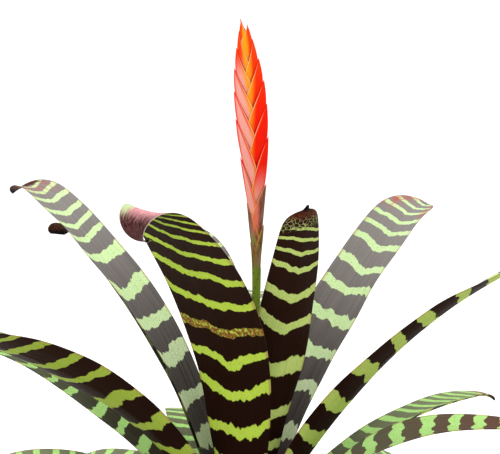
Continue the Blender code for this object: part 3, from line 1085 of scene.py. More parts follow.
@dataclass(frozen=True)
class TwineFinish(Finish):
    """Natural jute: pale golden fibres, darker in the lay between the plies and at the roots of stray fibres,
    as painted shade.
    """

    pale: Colour = (0.64, 0.46, 0.25)
    # The painted shade in the grooves between the plies and at the roots of the stray fibres.
    dark: Colour = (0.28, 0.17, 0.07)
    painted_shade_span: Span = (-0.1, 0.75)
    fibre_scale: float = 1500.0
    fibre_shares: Span = (0.55, 1.3)
    fibre_depth: float = 0.0003
    roughness: float = 0.85

    def feeds(self, bench: Bench) -> dict[str, Feed]:
        """What goes into the shader.

        Args:
            bench: the material's bench.

        Returns:
            A feed for each socket.
        """
        fibre = bench.noise(bench.place(), self.fibre_scale, 3.0, 0.7)
        # Painted shade: darker in the grooves between the plies and at the roots of the stray fibres.
        lay = bench.step(bench.value("share"), *self.painted_shade_span)
        share = bench.math("MULTIPLY", lay, bench.between(fibre, *self.fibre_shares), clamp=True)
        return {
            "Base Color": bench.mix(share, self.dark, self.pale),
            "Normal": bench.bump(fibre, self.fibre_depth),
        }


@dataclass(frozen=True)
class SoilFinish(Finish):
    """Damp potting soil with pale flecks of fibre."""

    crumbs: Clouds = Clouds((0.022, 0.012, 0.007), (0.085, 0.050, 0.028), scale=260.0, softness=0.18)
    bump_scale: float = 380.0
    bump_depth: float = 0.0015
    roughness: float = 0.92

    def feeds(self, bench: Bench) -> dict[str, Feed]:
        """What goes into the shader.

        Args:
            bench: the material's bench.

        Returns:
            A feed for each socket.
        """
        place = bench.place()
        relief = bench.bump(bench.noise(place, self.bump_scale, 5.0, 0.65), self.bump_depth)
        return {"Base Color": self.crumbs.at(bench, place), "Normal": relief}


# ---------------------------------------------------------------- rosette


@dataclass(frozen=True)
class Growth:
    """What every leaf of the rosette shares: its sheath, its outline and how it is drawn."""

    thickness: float = 0.0008
    margin_share: float = 0.30
    base_z: float = 0.1045
    ring_start: float = 0.0080
    ring_step: float = 0.00110
    sheath_half_width: float = 0.0115
    widest_wrap: float = 62.0
    sheath_end: float = 0.3
    free_span: Span = (0.25, 0.5)
    waist_at: float = 0.1
    tip_width: float = 0.0014
    spur_width: float = 0.0085
    spur_spread: float = 1.5
    hook_end: float = 1.04
    rib_depth: float = 0.00035
    rib_width: float = 0.0016
    wave_length: float = 0.05
    wave_width: float = 0.7
    wave_size: float = 1.3
    wave_seed: int = 50
    wander_along: float = 0.030
    wander_across: float = 0.020
    wander_size: float = 2.0
    bands_beyond: int = 40
    rows: int = 170
    columns: int = 25


@dataclass(frozen=True)
class Leaf:
    """One strap leaf. Headings, pitches, rolls and channel angles are set evenly from base to tip.

    Args:
        name: its node's name.
        ring: its place out from the centre.
        heading: where it points round the axis.
        pitch: how steeply it rises.
        length: along its midrib.
        width: at its broadest.
        roll: how far the blade turns about its midrib.
        channel: half the angle of its cross arc.
        point: how late it tapers.
        hook: how far its last part bends towards the outer face.
        taper: the share of the length where it begins to narrow.
        hook_from: the share where the hook begins.
        waist: the narrow part above the base, as a share of the full width.
        broadest: the share of the length where the width is full.
        roundness: low for a blunt tip and high for a sharp one.
        spur: the share of the length taken by a small point beyond the rounded tip.
        bands: shares of the length where pale bands cross. Below and above them the bands go on evenly.
        vee: how far the bands sag at the midrib, as slopes from base to tip.
        slant: how far the bands run down towards the positive side, as slopes from base to tip.
        wander: how far the bands stray, in bands.
        waves: how far the margins wave, in metres.
        finish: its colours.
    """

    name: str
    ring: int
    heading: tuple[float, ...]
    pitch: tuple[float, ...]
    length: float
    width: float
    roll: tuple[float, ...] = (0.0, 0.0)
    channel: tuple[float, ...] = (34.0, 22.0)
    point: float = 2.3
    hook: float = 10.0
    taper: float = 0.70
    hook_from: float = 0.84
    waist: float = 0.66
    broadest: float = 0.66
    roundness: float = 0.72
    spur: float = 0.0
    bands: tuple[float, ...] = (0.36, 0.46, 0.56, 0.65, 0.73, 0.80, 0.86, 0.91, 0.95)
    vee: tuple[float, ...] = (0.15, 0.15)
    slant: tuple[float, ...] = (0.0, 0.0)
    wander: float = 0.12
    waves: float = 0.0008
    finish: LeafFinish = LeafFinish()

    def base_radius(self, growth: Growth) -> float:
        """How far from the axis the leaf starts."""
        return growth.ring_start + growth.ring_step * self.ring

    def wrap(self, growth: Growth) -> float:
        """Half the angle that its base takes round the stem."""
        widest = math.radians(growth.widest_wrap)
        return min(widest, growth.sheath_half_width / self.base_radius(growth))

    def half_width(self, growth: Growth, s: np.ndarray) -> np.ndarray:
        """Half the width along the leaf: a clasping base, a waist, a broad upper blade, a rounded tip.

        Args:
            growth: the rosette's shared sizes.
            s: shares of the length.

        Returns:
            Half the width at each.
        """
        sheath = self.base_radius(growth) * self.wrap(growth)
        blade = self.width / 2 * (self.waist + (1 - self.waist) * ramp(growth.waist_at, self.broadest, s))
        body = sheath + (blade - sheath) * ramp(0.0, growth.sheath_end, s)
        taper = np.clip((s / (1 - self.spur) - self.taper) / (1 - self.taper), 0, 1)
        least = growth.tip_width / 2
        if self.spur:
            spur = growth.spur_width / 2 * np.clip((1 - s) / self.spur, 0, growth.spur_spread)
            least = np.maximum(spur, least)
        return np.maximum(body * (1 - taper**self.point) ** self.roundness, least)

    def frames(self, growth: Growth, s: np.ndarray) -> tuple[np.ndarray, np.ndarray, np.ndarray]:
        """Midrib points with the sideways and inner directions, from the headings and pitches.

        Args:
            growth: the rosette's shared sizes.
            s: evenly spaced shares of the length, from 0.

        Returns:
            Midrib points, unit vectors to the side and unit vectors towards the inner face.
        """
        heading = np.radians(evenly(self.heading, s))
        pitch = np.radians(evenly(self.pitch, s))
        level = stacked(np.cos(heading), np.sin(heading), 0.0)
        up = np.array([0.0, 0.0, 1.0])
        forward = np.cos(pitch)[:, None] * level + np.sin(pitch)[:, None] * up
        inner = -np.sin(pitch)[:, None] * level + np.cos(pitch)[:, None] * up
        side = np.cross(inner, forward)
        roll = np.radians(evenly(self.roll, s))[:, None]
        side, inner = side * np.cos(roll) + inner * np.sin(roll), inner * np.cos(roll) - side * np.sin(roll)
        hook = np.radians(self.hook * ramp(self.hook_from, growth.hook_end, s))[:, None]
        forward, inner = (
            forward * np.cos(hook) - inner * np.sin(hook),
            inner * np.cos(hook) + forward * np.sin(hook),
        )
        steps = np.diff(s)[:, None] * self.length * (forward[1:] + forward[:-1]) / 2
        start = self.base_radius(growth) * level[0] + growth.base_z * up
        midrib = start + np.vstack([np.zeros(3), np.cumsum(steps, axis=0)])
        return midrib, side, inner

    def phase(self, growth: Growth, s: np.ndarray, across: np.ndarray, seed: int) -> np.ndarray:
        """The band phase, which passes a half number at the middle of each pale band.

        Args:
            growth: the rosette's shared sizes.
            s: shares of the length, as a column.
            across: metres from the midrib, rows by columns.
            seed: which wandering.

        Returns:
            The phase, rows by columns.
        """
        bands, far = np.array(self.bands), growth.bands_beyond
        lowest = bands[0] - far * (bands[1] - bands[0])
        highest = bands[-1] + far * (bands[-1] - bands[-2])
        stations = np.concatenate([[lowest], bands, [highest]])
        counts = np.concatenate([[-far], np.arange(len(bands)), [len(bands) - 1 + far]]) + 0.5
        slope = evenly(self.slant, s) * across - evenly(self.vee, s) * np.abs(across)
        places = stacked(across / growth.wander_across, s * self.length / growth.wander_along)
        strayed = self.wander * ripple(places, growth.wander_size, seed)
        return eased(stations, counts, s + slope / self.length) + strayed

    def shape(self, growth: Growth, seed: int) -> Shape:
        """The leaf's solid: an arc across at each place along, thin at its waving margins.

        Args:
            growth: the rosette's shared sizes.
            seed: the leaf's own number.

        Returns:
            The closed shape with the values flow, growth and rim.
        """
        s = np.linspace(0, 1, growth.rows)
        midrib, side, inner = self.frames(growth, s)
        half = self.half_width(growth, s)
        wrap = self.wrap(growth)
        channel = np.radians(evenly(self.channel, s))
        cup = (wrap + (channel - wrap) * ramp(0.0, growth.sheath_end, s))[:, None]
        c = np.sin(np.linspace(-1, 1, growth.columns) * math.pi / 2)[None, :]
        arc = half[:, None] / cup
        across = arc * np.sin(cup * c)
        rise = arc * (1 - np.cos(cup * c))
        square = inner[:, None] * np.cos(cup * c)[..., None] - side[:, None] * np.sin(cup * c)[..., None]
        column = s[:, None]
        free = ramp(*growth.free_span, column)
        places = stacked(column * self.length / growth.wave_length, c * growth.wave_width)
        waved = self.waves * free * c**2 * ripple(places, growth.wave_size, seed + growth.wave_seed)
        rib = -growth.rib_depth * np.exp(-((across / growth.rib_width) ** 2)) * free
        middle = midrib[:, None] + side[:, None] * across[..., None] + inner[:, None] * rise[..., None]
        middle = middle + square * (waved + rib)[..., None]
        slim = growth.margin_share + (1 - growth.margin_share) * np.sqrt(1 - np.abs(c) ** 3)
        wall = square * (growth.thickness / 2 * slim)[..., None]
        phase = self.phase(growth, column, half[:, None] * c, seed)
        flat = self.width / 2 * c / MILLIMETRE
        flow = stacked(flat, column * self.length / MILLIMETRE, float(seed))
        rim = np.broadcast_to(np.abs(c), phase.shape)
        faces = stacked(phase, 0.0, column), stacked(phase, 1.0, column)
        values = {"flow": (flow, flow), "growth": faces, "rim": (rim, rim)}
        return closed_blade(middle + wall, middle - wall, values)


# Leaves low on the plant, whose inner faces look up: their greys and mint are lighter, partly as painted
# sheen.
LOW = LeafFinish(
    dark_inner=(0.13, 0.13, 0.08), painted_sheen_and_brown_inner=(0.27, 0.31, 0.17), pale_inner=MINT, painted_light_low=MINT
)

LEAVES = (
    Leaf("leaf_inner", 0, (140, 136, 130), (88, 87, 82, 60), 0.245, 0.040, hook=30),
    Leaf(
        "leaf_front_right", 1, (308, 317, 320), (89, 77.3, 75.3, 81), 0.270, 0.043,
        roll=(-4, -24, -26, 6), point=20.0, hook=0, roundness=0.5, spur=0.013,
        bands=(0.32, 0.415, 0.545, 0.665, 0.750, 0.827, 0.873, 0.91, 0.94), slant=(0.0, 0.1, 0.2),
        vee=(0.3, 0.3, 0.35, 0.38, 0.28, -0.3),
        finish=LeafFinish(tip=TipFinish(Tip.NETTED, 0.966), pale_share=0.29, pale_outer=(0.63, 0.71, 0.24)),
    ),
    Leaf(
        "leaf_front", 2, (262, 254, 236, 223, 220), (86, 81, 70, 54, 46), 0.330, 0.094,
        channel=(34, 24, 6, 14), point=2.4, hook=268, taper=0.68, hook_from=0.838, waist=0.40,
        broadest=0.90, roundness=1.4,
        bands=(0.205, 0.295, 0.383, 0.463, 0.545, 0.620, 0.690, 0.755, 0.805, 0.840, 0.862),
        vee=(0.5, 0.5, 0.45, 0.15, 0.08, 0.0), slant=(0.0, 0.0, 0.0, 0.05, 0.2, 0.2),
        finish=LeafFinish(tip=TipFinish(Tip.ROSY, 0.87), pale_share=0.28, rust_band=4.5),
    ),
    Leaf(
        "leaf_right_tall", 3, (38, 33, 18), (83, 64, 54, 48), 0.296, 0.065,
        roll=(0, 0, 2, 8), point=8.0, hook=55, hook_from=0.88, waist=0.55,
        bands=(0.418, 0.525, 0.608, 0.690, 0.757, 0.823, 0.866, 0.900, 0.933, 0.958),
        vee=(0.1, 0.0, 0.03, 0.11, 0.12), slant=(0.0, 0.0, -0.03, -0.01, 0.12),
        finish=LeafFinish(tip=TipFinish(Tip.BLUSHED, 0.93), pale_share=0.32),
    ),
    Leaf(
        "leaf_left_tall", 4, (156, 152, 150), (84, 66, 45, 35), 0.338, 0.046,
        point=5.0, hook=90, hook_from=0.88,
        bands=(0.345, 0.442, 0.52, 0.617, 0.698, 0.763, 0.803, 0.84, 0.88, 0.91, 0.94),
        vee=(0.2, 0.2), finish=LeafFinish(tip=TipFinish(Tip.DRIED, 0.950)),
    ),
    Leaf(
        "leaf_left_tall_behind", 5, (147, 145, 143), (82, 66, 47.5, 39), 0.293, 0.038,
        point=20.0, hook=150, hook_from=0.90, roundness=0.35,
        finish=LeafFinish(tip=TipFinish(Tip.DRIED, 0.92)),
    ),
    Leaf("leaf_back_right", 6, (88, 86, 84), (80, 58, 40, 10), 0.240, 0.045, hook=40),
    Leaf(
        "leaf_right_arching", 7, (345, 346, 350), (80, 55, 39.8, 24), 0.330, 0.035,
        roll=(0, -26, -16, 0), waist=1.1, bands=(0.311, 0.396, 0.496, 0.59, 0.672, 0.76, 0.831),
        vee=(0.0, 0.0), slant=(0.4, 0.3, 0.1, 0.2, 0.4),
        finish=LeafFinish(pale_outer=(0.50, 0.58, 0.15), pale_share=0.40),
    ),
    Leaf(
        "leaf_back_left", 8, (134, 126, 94, 91), (76, 60, 0, -80), 0.182, 0.038,
        channel=(34, 12, 4), point=6.0,
        bands=(0.34, 0.41, 0.468, 0.532, 0.582, 0.63, 0.68, 0.73), finish=LOW,
    ),
    Leaf(
        "leaf_left_arching", 9, (208, 206, 205), (80, 49, 28, 12), 0.320, 0.048,
        roll=(0, 24, 28, 0), bands=(0.30, 0.39, 0.487, 0.583, 0.662, 0.742, 0.81),
        vee=(0.0, 0.0), slant=(0.1, 0.1, 0.15, 0.5, 0.5),
        finish=LeafFinish(pale_outer=(0.40, 0.48, 0.075), pale_share=0.32),
    ),
    Leaf(
        "leaf_right_upper", 10, (15, 12, 10), (70, 39.5, 24.5, 1), 0.214, 0.039,
        roll=(0, 0, -3, -8), hook=70, hook_from=0.93,
        bands=(0.48, 0.573, 0.657, 0.735, 0.783, 0.837, 0.877, 0.918),
        vee=(0.1, 0.1, 0.0, 0.0), slant=(0.0, 0.0, 0.3, 0.9, 1.2),
        finish=replace(LOW, tip=TipFinish(Tip.DRIED, 0.965), pale_share=0.42),
    ),
    Leaf(
        "leaf_left_lower", 11, (170, 166, 164), (66, 42, 25, -4), 0.300, 0.044,
        bands=(0.307, 0.38, 0.455, 0.527, 0.583, 0.653, 0.712),
        finish=replace(LOW, dark_inner=(0.030, 0.020, 0.013), painted_sheen_and_brown_inner=(0.20, 0.23, 0.13)),
    ),
    # Its inner dark bands turn brown towards the tip: its own colour, in the slot that the other leaves use
    # for painted sheen.
    Leaf(
        "leaf_right_lower", 12, (339, 346, 352), (68, 42, 9, -12), 0.262, 0.035,
        roll=(-2, 0, 16, 0, -6), hook=20,
        bands=(0.363, 0.438, 0.523, 0.605, 0.683, 0.742),
        finish=replace(LOW, painted_sheen_and_brown_inner=(0.14, 0.060, 0.042), pale_share=0.44, sway=0.5),
    ),
    Leaf(
        "leaf_low_left", 13, (190, 188, 186), (60, 34, 2, -40), 0.215, 0.046, point=4.0, hook=30,
        bands=(0.44, 0.49, 0.528, 0.578, 0.637, 0.697, 0.75), finish=LOW,
    ),
    *(
        Leaf(f"leaf_low_{place}", ring, heading, pitch, length, 0.046, hook=30, finish=LOW)
        for place, ring, heading, pitch, length in (
            ("front", 14, (262, 260, 258), (54, 16, -14, -38), 0.230),
            ("back_right", 15, (46, 46, 46), (52, 14, -14, -36), 0.220),
            ("back_left", 16, (136, 138, 140), (52, 14, -14, -36), 0.220),
            ("front_right", 17, (312, 312, 312), (52, 16, -14, -36), 0.235),
            ("back", 18, (90, 92, 94), (56, 14, -16, -38), 0.220),
        )
    ),
)


@dataclass(frozen=True)
class Rosette:
    """Every leaf, each in a finish of its own."""

    leaves: Sequence[Leaf] = LEAVES
    growth: Growth = Growth()

    def build(self) -> None:
        """Makes each leaf in place of its node."""
        for seed, leaf in enumerate(self.leaves, 1):
            finish = leaf.finish.build(leaf.name)
            leaf.shape(self.growth, seed).piece(leaf.name, finish, "leaf", leaf.name)


# ---------------------------------------------------------------- flower stem and spike


@dataclass(frozen=True)
class Flower:
    """The stem, the small bracts along it and the two-sided spike of red bracts.

    Each table gives a height and a size. A span is the heights between which a step goes from 0 to 1.
    """

    axis: tuple[Triple, ...] = (
        (0.0, 0.0, 0.1044),
        (0.0030, 0.003, 0.170),
        (0.0075, 0.006, 0.250),
        (0.0094, 0.006, 0.310),
        (0.0085, 0.005, 0.376),
        (0.0050, 0.003, 0.438),
        (0.0002, 0.0, 0.4915),
    )
    radii: Pairs = (
        (0.1044, 0.0068), (0.115, 0.0052), (0.16, 0.0036), (0.25, 0.0030),
        (0.285, 0.0016), (0.37, 0.0014), (0.45, 0.0009), (0.4915, 0.0004),
    )
    half_widths: Pairs = (
        (0.25, 0.0040), (0.30, 0.0032), (0.324, 0.0036), (0.340, 0.0050), (0.360, 0.0063),
        (0.386, 0.0090), (0.4215, 0.0114), (0.452, 0.0102), (0.478, 0.0050), (0.4925, 0.0010),
    )
    half_depths: Pairs = (
        (0.25, 0.0040), (0.30, 0.0030), (0.333, 0.0036), (0.37, 0.0054),
        (0.41, 0.0056), (0.45, 0.0050), (0.48, 0.0032), (0.4925, 0.0014),
    )
    yaw: float = -6.0
    clearance: float = 0.0004
    stem_top: float = 0.474
    stem_rows: int = 200
    stem_columns: int = 20
    node_height: float = 0.03
    node_length: float = 0.02
    node_size: float = 1.5
    node_seed: int = 77
    spike_tips: tuple[float, ...] = (
        0.3945, 0.4095, 0.4215, 0.4325, 0.4408, 0.4490, 0.4568,
        0.4643, 0.4712, 0.4774, 0.4828, 0.4872, 0.4912,
    )
    longest: float = 0.060
    shortest: float = 0.030
    foot: float = 0.3485
    scape_tips: tuple[float, ...] = (0.296, 0.316, 0.334, 0.347, 0.3625, 0.376)
    scape_length: float = 0.050
    scape_seed: int = 30
    spike_seed: int = 40
    wall: float = 0.0003
    opening_share: float = 0.50
    scape_opening_share: float = 0.32
    crown_opening_share: float = 0.22
    crown: int = 2
    clasp: float = -0.52
    tip_closing: float = 0.999
    flare_length: float = 0.018
    least_flare: float = 0.0009
    keel_span: Span = (0.33, 0.39)
    rows: int = 48
    columns: int = 31

    def centre(self, height: np.ndarray) -> np.ndarray:
        """The stem's centre line at these heights."""
        points = np.array(self.axis)
        return eased(points[:, 2], points, height)

    def bract(self, base: float, tip: float, side: int, seed: int, opening_share: float) -> Shape:
        """A boat-shaped bract: part of a ring that clasps the stem and closes on its keel at the tip.

        The ring is round on the stem and an edged lens in the spike. It grows from the stem out to the
        spike's outline on the way up, so a lower bract is always outside a higher one.

        Args:
            base: the height it starts at.
            tip: the height it ends at.
            side: 1 for the right of the stem and -1 for the left.
            seed: the bract's own number.
            opening_share: the share of its height in which it opens from its tip to half round.

        Returns:
            The closed shape with the values flow, growth and rim.
        """
        h = np.linspace(0, 1, self.rows)
        height = base + (tip - base) * h
        grown = 1 - (1 - h) ** ((tip - base) / self.flare_length)
        inner = by_height(self.radii, height) + 2 * self.clearance
        wide, deep = (
            (inner + np.maximum(by_height(table, height) - inner, self.least_flare) * grown)[:, None]
            for table in (self.half_widths, self.half_depths)
        )
        opening = opening_share * (tip - base)
        reach = np.arccos(np.clip(1 - (tip - height) / opening, self.clasp, self.tip_closing))
        c = np.linspace(-1, 1, self.columns)
        angle = reach[:, None] * c
        keel = ramp(*self.keel_span, height)[:, None]
        profile = (1 - np.abs(np.cos(angle)) ** (2 - 0.5 * keel)) ** (0.5 + 0.5 * keel)
        x = side * np.cos(angle)
        y = side * np.sign(angle) * profile
        yaw = math.radians(self.yaw)
        centre = self.centre(height)[:, None]

        def skin(inset: float) -> np.ndarray:
            """One face of the bract, turned by the yaw.

            Args:
                inset: how far it is drawn in.

            Returns:
                Its points, rows by columns.
            """
            flat_x, flat_y = (wide - inset) * x, (deep - inset) * y
            turned_y = flat_x * math.sin(yaw) + flat_y * math.cos(yaw)
            return centre + stacked(flat_x * math.cos(yaw) - flat_y * math.sin(yaw), turned_y, 0.0)

        tall = (height - self.foot) / (self.spike_tips[-1] - self.foot)
        flow = stacked(wide * angle / MILLIMETRE, (tip - height)[:, None] / MILLIMETRE, float(seed))
        growth = stacked(tall[:, None], float(side), np.abs(angle) / (math.pi / 2))
        rim = np.broadcast_to(np.abs(c), angle.shape)
        values = {"flow": (flow, flow), "growth": (growth, growth), "rim": (rim, rim)}
        return closed_blade(skin(0.0), skin(self.wall), values)

    def stem(self) -> Shape:
        """The stem: a tube whose radius narrows up into the spike, with faint nodes low down.

        Returns:
            The closed shape.
        """
        height = np.linspace(self.axis[0][2], self.stem_top, self.stem_rows)
        angle = np.linspace(0, FULL_TURN, self.stem_columns, endpoint=False)
        places = stacked(height[:, None] / self.node_length, np.cos(angle), np.sin(angle))
        nodes = 1 + self.node_height * ripple(places, self.node_size, self.node_seed)
        radius = by_height(self.radii, height)[:, None] * nodes
        side, up = (np.tile(axis, (len(height), 1)) for axis in ((1.0, 0.0, 0.0), (0.0, 1.0, 0.0)))
        return closed_tube(self.centre(height), side, up, radius)

    def row(self, kind: str, finish: Finish, seed: int, *bracts: Sequence[float]) -> None:
        """Makes bracts up the stem, by turns on its left and its right, each in place of its node.

        Args:
            kind: what their names begin with; with spaces for underscores, it names their material.
            finish: what they wear.
            seed: the first bract's own number.
            bracts: the heights of their tips, their lengths, and the shares in which they open.
        """
        wear = finish.build(kind.replace("_", " "))
        for k, (tip, length, opening_share) in enumerate(zip(*bracts)):
            name = f"{kind}_{k + 1:02d}"
            shape = self.bract(tip - length, tip, (-1, 1)[k % 2], seed + k, opening_share)
            shape.piece(name, wear, kind, name)

    def build(self) -> None:
        """Makes the stem, the bracts along it and the spike."""
        self.stem().piece("flower_stem", StemFinish().build("stem"), "stem", "flower_stem")
        scape, spike = len(self.scape_tips), len(self.spike_tips)
        lengths, openings = [self.scape_length] * scape, [self.scape_opening_share] * scape
        self.row("scape_bract", ScapeFinish(), self.scape_seed, self.scape_tips, lengths, openings)
        lengths = np.linspace(self.longest, self.shortest, spike)
        openings = [self.opening_share] * (spike - self.crown) + [self.crown_opening_share] * self.crown
        self.row("spike_bract", BractFinish(), self.spike_seed, self.spike_tips, lengths, openings)


# ---------------------------------------------------------------- moss ball and twine


@dataclass(frozen=True)
class Twine:
    """One length of three-ply jute wound round the ball, each turn passing over the ones before."""

    radius: float = 0.0009
    turns: int = 7
    tilt: float = 46.0
    points_per_turn: int = 33
    crossing_slope: float = 0.14
    own_share: float = 0.3
    start: float = 200.0
    lay_length: float = 0.0065
    plies: int = 3
    steps_per_lay: int = 12
    columns: int = 12
    groove: float = 0.70
    ply_rise: float = 0.34
    ply_power: float = 0.6
    least_end: float = 0.02
    fibres: int = 2600
    fibre_seed: int = 8
    fibre_free_end: int = 20
    fibre_fan: Span = (-0.3, math.pi + 0.3)
    fibre_lift: Span = (0.25, 0.8)
    fibre_lengths: Span = (0.0012, 0.0036)
    fibre_root: float = 0.75
    fibre_half_width: float = 0.00005
    fibre_thickness: float = 0.00007

    def directions(self) -> tuple[np.ndarray, np.ndarray, np.ndarray]:
        """Where the winding points from the ball's centre: a tilted turn whose plane moves round.

        Returns:
            The turn count, the polar angle from straight up and the angle round, for each point.
        """
        turn = np.linspace(0, self.turns, self.turns * self.points_per_turn + 1)[:-2]
        angle = FULL_TURN * turn
        tilt = math.radians(self.tilt)
        swing = math.radians(self.start) + angle / self.turns
        x, y, z = np.cos(angle), np.sin(angle) * math.cos(tilt), np.sin(angle) * math.sin(tilt)
        return turn, np.arccos(np.clip(z, -1, 1)), np.arctan2(y, x) + swing

    def lift(self, turn: np.ndarray, points: np.ndarray, ball_radius: float, clearance: float) -> np.ndarray:
        """How far each point is raised to pass over the turns that were laid before it.

        Args:
            turn: the turn count of each point.
            points: the winding laid flat on the moss.
            ball_radius: the ball's.
            clearance: the gap left at a crossing.

        Returns:
            The lift of each point.
        """
        step = 2 * self.radius + clearance
        lift = np.zeros(len(turn))
        along = turn * FULL_TURN * ball_radius
        for k in range(len(turn)):
            before = np.flatnonzero(turn < turn[k] - self.own_share)
            if len(before):
                apart = np.linalg.norm(points[before] - points[k], axis=1)
                over = lift[before] + step - self.crossing_slope * np.maximum(apart - step, 0)
                lift[k] = max(0.0, over.max())
        for k in range(len(turn)):
            near = np.flatnonzero(np.abs(turn - turn[k]) < self.own_share)
            reached = lift[near] - self.crossing_slope * np.abs(along[near] - along[k])
            lift[k] = max(lift[k], reached.max())
        return lift

    def path(self, ball: "MossBall") -> tuple[np.ndarray, np.ndarray]:
        """The winding's middle line.

        Args:
            ball: the ball it is wound on.

        Returns:
            Its points, and how far each is lifted off the moss.
        """
        turn, polar, around = self.directions()
        clear = self.radius + ball.clearance
        flat = ball.point(polar, around, -clear)
        lift = self.lift(turn, flat, ball.radius, ball.clearance)
        return ball.point(polar, around, -(clear + lift)), lift

    def build(self, ball: "MossBall") -> None:
        """Makes the twine: three lobes that turn once in each lay, and stray fibres along it.

        Args:
            ball: the ball it is wound on.
        """
        coarse, _ = self.path(ball)
        arc = np.concatenate([[0], np.cumsum(np.linalg.norm(np.diff(coarse, axis=0), axis=1))])
        where = np.linspace(0, arc[-1], int(arc[-1] / self.lay_length * self.steps_per_lay))
        path = eased(arc, coarse, where)
        forward = unit(np.gradient(path, axis=0))
        side = unit(np.cross(forward, unit(path - ball.centre())))
        up = np.cross(side, forward)
        angle = np.linspace(0, FULL_TURN, self.columns, endpoint=False)[None, :]
        turned = angle - FULL_TURN * where[:, None] / self.lay_length
        lobe = 0.5 + 0.5 * np.cos(self.plies * turned)
        ends = np.sqrt(np.clip(np.minimum(where, arc[-1] - where) / self.radius, self.least_end, 1))
        radius = self.radius * ends[:, None] * (self.groove + self.ply_rise * lobe**self.ply_power)
        shape = closed_tube(path, side, up, radius)
        shape.values["share"] = np.concatenate([lobe.ravel(), [0.5, 0.5]])
        whole = Shape.joined([shape, self.strays(path, forward, side, up)])
        whole.piece("binding_twine", TwineFinish().build("jute twine"), "twine", "binding_twine")

    def strays(self, path: np.ndarray, forward: np.ndarray, side: np.ndarray, up: np.ndarray) -> Shape:
        """Short stray fibres that stand off the twine.

        Args:
            path: points along the twine.
            forward: its direction at each.
            side: a unit vector across it.
            up: a unit vector away from the ball.

        Returns:
            Their slivers.
        """
        rng = np.random.default_rng(self.fibre_seed)
        k = rng.integers(self.fibre_free_end, len(path) - self.fibre_free_end, self.fibres)
        column = (len(k), 1)
        angle = rng.uniform(*self.fibre_fan, len(k))[:, None]
        out = side[k] * np.cos(angle) + up[k] * np.sin(angle)
        lean = unit(out * rng.uniform(*self.fibre_lift, column) + forward[k] * rng.choice([-1, 1], column))
        roots = path[k] + out * self.radius * self.fibre_root
        tips = roots + lean * rng.uniform(*self.fibre_lengths, column)
        across = unit(np.cross(lean, out)) * self.fibre_half_width
        return spikes(roots, tips, across, out * self.fibre_thickness)


